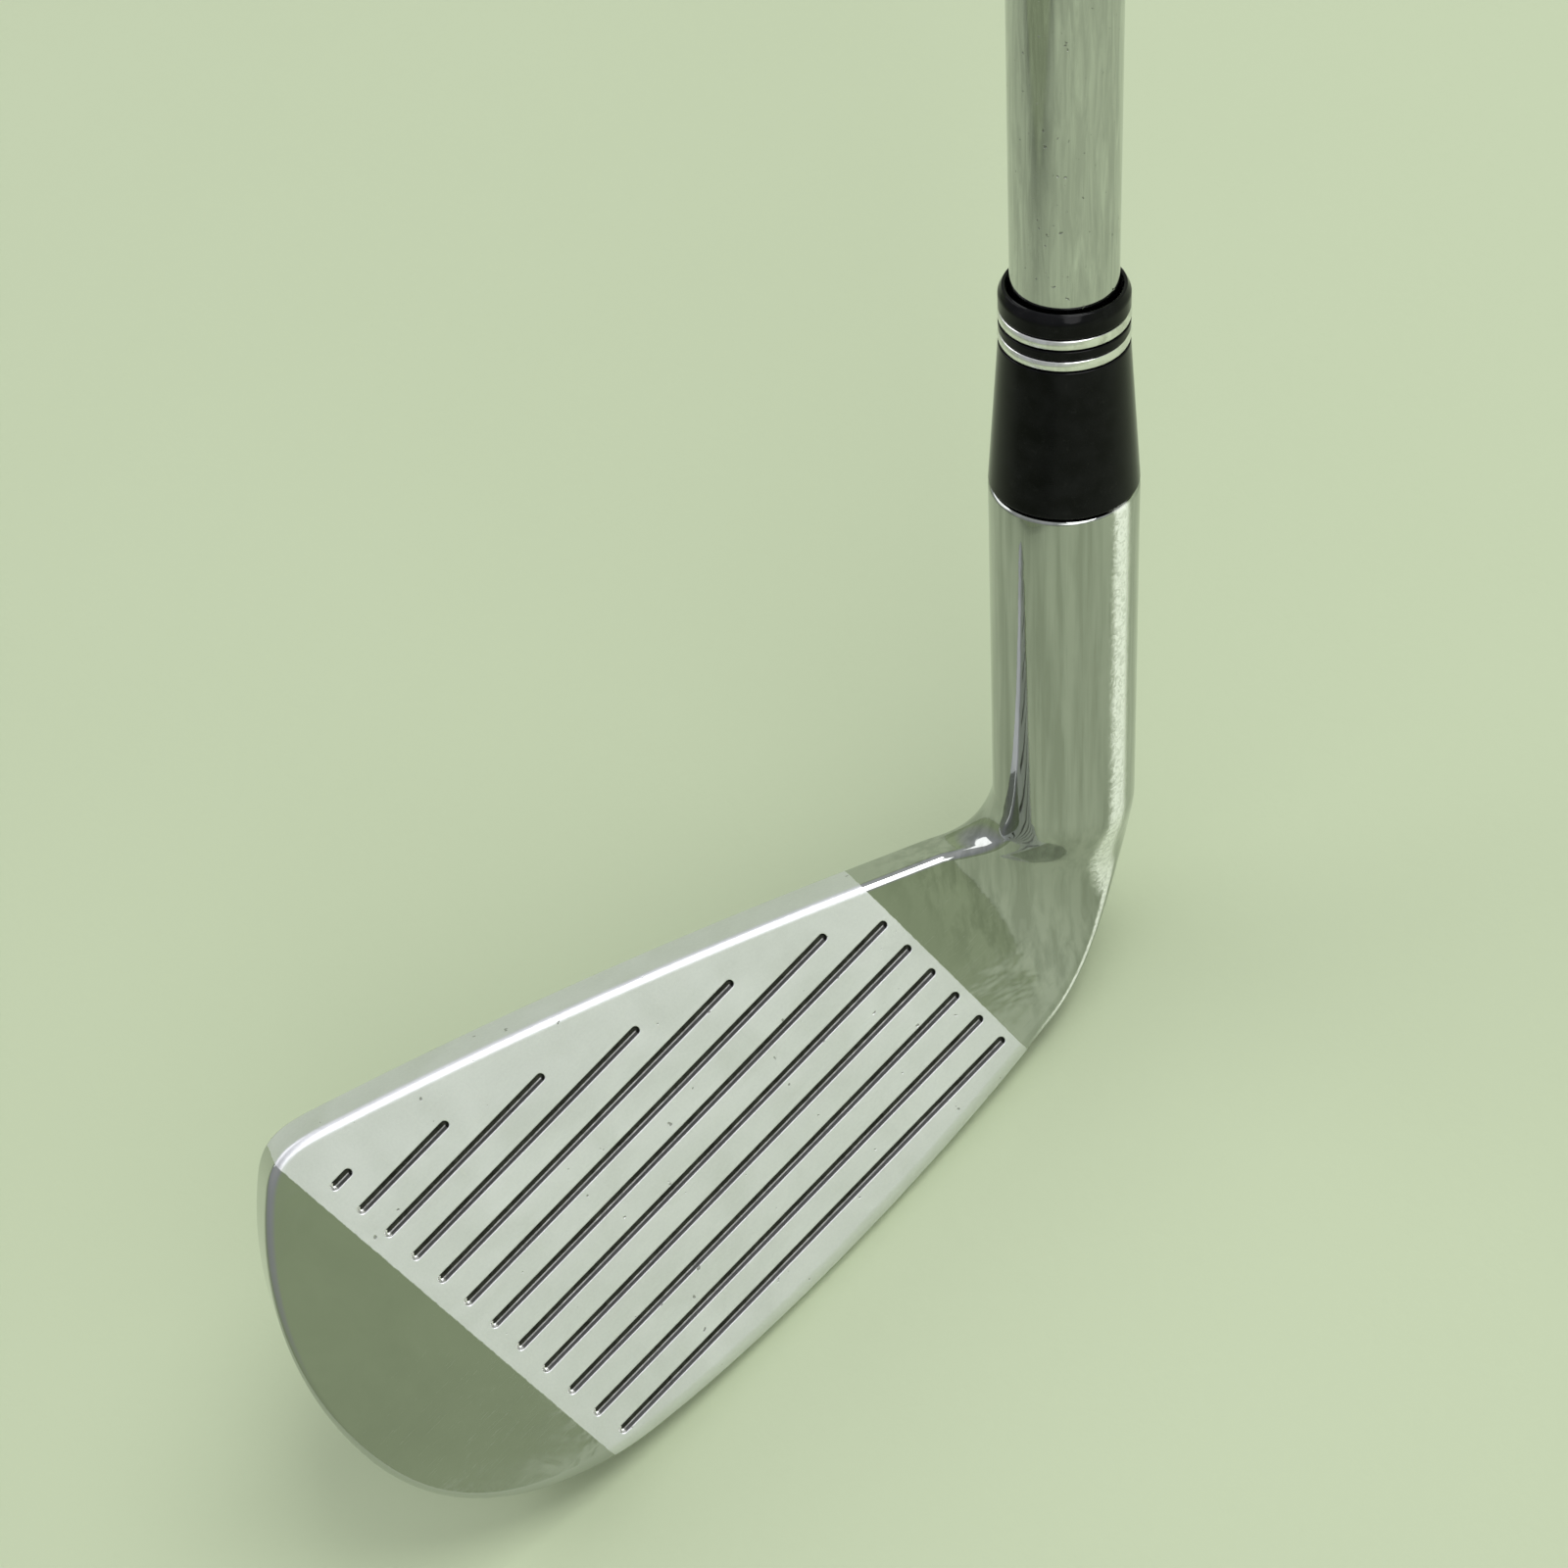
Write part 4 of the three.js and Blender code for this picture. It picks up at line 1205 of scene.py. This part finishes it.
def grip_relief(s, angle):
    """How far the surface is sunk: crossing spirals between two plain bands."""
    from_low, from_high = s - GRIP_LOW, GRIP_HIGH - s
    inner = min(from_low - BAND_LENGTH, from_high - BAND_LENGTH)
    if inner <= 0:
        return 0.0
    sunk = 0.0
    for direction in (-1, 1):
        phase = s / PATTERN_PITCH + direction * angle * PATTERN_TURNS / (2 * math.pi)
        nearest = abs(phase - round(phase))
        sunk = max(sunk, 1 - smoothstep(nearest, PATTERN_FLOOR, PATTERN_RIM))
    return PATTERN_DEPTH * sunk * smoothstep(inner, 0, BAND_FADE)


def grip_surface():
    angles = np.arange(GRIP_SEGMENTS) * 2 * math.pi / GRIP_SEGMENTS
    around = np.outer(np.cos(angles), ACROSS) + np.outer(np.sin(angles), BACKWARD)
    rings = []
    lip = [(GRIP_LOW, GRIP_BORE), (GRIP_LOW, MOUTH_RADIUS - MOUTH_ROUNDING)]
    lip += [
        (
            GRIP_LOW + MOUTH_ROUNDING * (1 - math.cos(math.pi / 2 * k / MOUTH_STEPS)),
            MOUTH_RADIUS - MOUTH_ROUNDING + MOUTH_ROUNDING * math.sin(math.pi / 2 * k / MOUTH_STEPS),
        )
        for k in range(1, MOUTH_STEPS + 1)
    ]
    for s, radius in lip:
        rings.append(axis_point(s) + radius * around)
    for k in range(1, GRIP_RINGS):
        s = lerp(GRIP_LOW + MOUTH_ROUNDING, GRIP_HIGH, k / GRIP_RINGS)
        taper = max(0.0, (s - GRIP_LOW - GRIP_LIP) / (GRIP_HIGH - GRIP_LOW - GRIP_LIP))
        radius = lerp(MOUTH_RADIUS, BUTT_RADIUS, taper)
        sunk = np.array([grip_relief(s, a) for a in angles])
        rings.append(axis_point(s) + (radius - sunk)[:, None] * around)
    rings.append(axis_point(GRIP_HIGH) + (BUTT_RADIUS - BUTT_INSET) * around)
    rings.append(axis_point(GRIP_HIGH) + GRIP_BORE * around)
    surface = Surface()
    for i, ring in enumerate(rings):
        surface.strip(rings[i - 1], ring, closed=True)
    return surface


grip = make_object("rubber_grip", grip_surface(), ORIGIN, [RUBBER])
stand_for(grip, "grip_sleeve")

END = cad_corners("grip_end_cap")
END_LOW, END_HIGH = END[0][0], END[-1][0]
VENT_RADIUS = min(r for _, r in END)
END_RADIUS = max(r for _, r in END)
END_START = max(r for s, r in END if s == END_LOW)
END_FACE = max(r for s, r in END if s == END_HIGH)
widest = [s for s, r in END if r == END_RADIUS]
turned_piece(
    "grip_end",
    "grip_end_cap",
    RUBBER,
    [
        (END_LOW, VENT_RADIUS, 0.1),
        (END_LOW, END_START, 0.3),
        (widest[0], END_RADIUS, 1.5),
        (widest[-1], END_RADIUS, 2.4),
        (END_HIGH, END_FACE, 2.2),
        (END_HIGH, END_FACE - 2.2, 0.3),
        (END_HIGH - 0.5, END_FACE - 2.6, 0.3),
        (END_HIGH - 0.5, END_FACE - 3.4, 0.3),
        (END_HIGH, END_FACE - 3.8, 0.3),
        (END_HIGH, VENT_RADIUS + 1.4, 0.5),
        (END_HIGH - 0.6, VENT_RADIUS, 0.3),
    ],
)

# ---------------------------------------------------------------- hidden pieces

for node, material in (("epoxy_plug", epoxy()), ("tip_weight", brass()), ("grip_tape", tape())):
    mesh = NODES[node].data
    mesh.materials.clear()
    mesh.materials.append(material)


# ---------------------------------------------------------------- floor, light and camera

FLOOR_SIZE = 40.0


def add_floor():
    """Plain and pale; its green tint is there to show in the chrome, as the grass does."""
    work = bmesh.new()
    bmesh.ops.create_grid(work, x_segments=8, y_segments=8, size=FLOOR_SIZE / 2)
    mesh = bpy.data.meshes.new("floor")
    work.to_mesh(mesh)
    work.free()
    material, graph = new_material("floor_finish")
    place = graph.node("TexCoord").outputs["Object"]
    cloud = graph.noise(place, 6.0, 5.0, 0.6)
    grain = graph.noise(place, 900.0, 2.0)
    graph.surface(
        Base_Color=graph.mix(cloud, (0.46, 0.53, 0.35), (0.49, 0.555, 0.385)),
        Roughness=graph.mapped(cloud, 0.3, 0.7, 0.75, 0.85),
        Normal=graph.bump(grain, 0.03),
    )
    mesh.materials.append(material)
    floor = bpy.data.objects.new("floor", mesh)
    bpy.context.scene.collection.objects.link(floor)


def add_light(name, place, target, size, power, colour=(1, 1, 1)):
    data = bpy.data.lights.new(name, "AREA")
    data.shape = "RECTANGLE"
    data.size, data.size_y = size
    data.energy = power
    data.color = colour
    light = bpy.data.objects.new(name, data)
    light.visible_camera = False
    place, target = Vector(place), Vector(target)
    light.matrix_world = (
        Matrix.Translation(place) @ (place - target).to_track_quat("Z", "Y").to_matrix().to_4x4()
    )
    bpy.context.scene.collection.objects.link(light)


def add_world():
    """Soft surroundings, brighter above and towards +X, with the floor's tint low down."""
    world = bpy.data.worlds.new("studio")
    bpy.context.scene.world = world
    world.use_nodes = True
    graph = Graph(world.node_tree)
    direction = graph.node("TexCoord").outputs["Generated"]
    x, _, z = graph.split(direction)
    tone = graph.ramp(graph.mapped(z, -0.1, 0.9), [
        (0.0, (0.47, 0.55, 0.35)),
        (0.2, (0.45, 0.54, 0.33)),
        (0.35, (0.47, 0.51, 0.43)),
        (0.6, (0.5, 0.52, 0.53)),
        (1.0, (0.62, 0.63, 0.64)),
    ])
    side = graph.mapped(x, -1.0, 1.0, 0.75, 1.12)
    lit = graph.node("Background", {"Color": tone, "Strength": side})
    output = graph.node("OutputWorld")
    world.node_tree.links.new(lit.outputs[0], output.inputs[0])


add_floor()
add_world()
HEAD_MIDDLE = sum(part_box("head"), Vector()) / 2
add_light("key", (2.2, -1.0, 3.0), HEAD_MIDDLE, (1.8, 1.8), 80)
add_light("front", (0.4, -3.8, 3.0), HEAD_MIDDLE, (3.6, 2.4), 64)
add_light("back", (-0.8, 3.6, 3.6), HEAD_MIDDLE, (4.0, 2.4), 48)

CAMERA_PLACE = Vector((23.460, -200.043, 280.081)) / MM
CAMERA_FORWARD = Vector((0.01574698, 0.65660639, -0.75406902))
CAMERA_UP = Vector((0.7159264, 0.51906512, 0.46692696))
CAMERA_LENS = 78.9

camera_data = bpy.data.cameras.new("camera")
camera_data.lens = CAMERA_LENS
camera_data.sensor_width = 36
camera_data.clip_start = 0.01
camera_data.clip_end = 50
camera = bpy.data.objects.new("camera", camera_data)
right = CAMERA_FORWARD.cross(CAMERA_UP)
camera.matrix_world = Matrix.Translation(CAMERA_PLACE) @ Matrix(
    (right, CAMERA_UP, -CAMERA_FORWARD)
).transposed().to_4x4()
bpy.context.scene.collection.objects.link(camera)
bpy.context.scene.camera = camera
bpy.context.scene.view_settings.view_transform = "Standard"
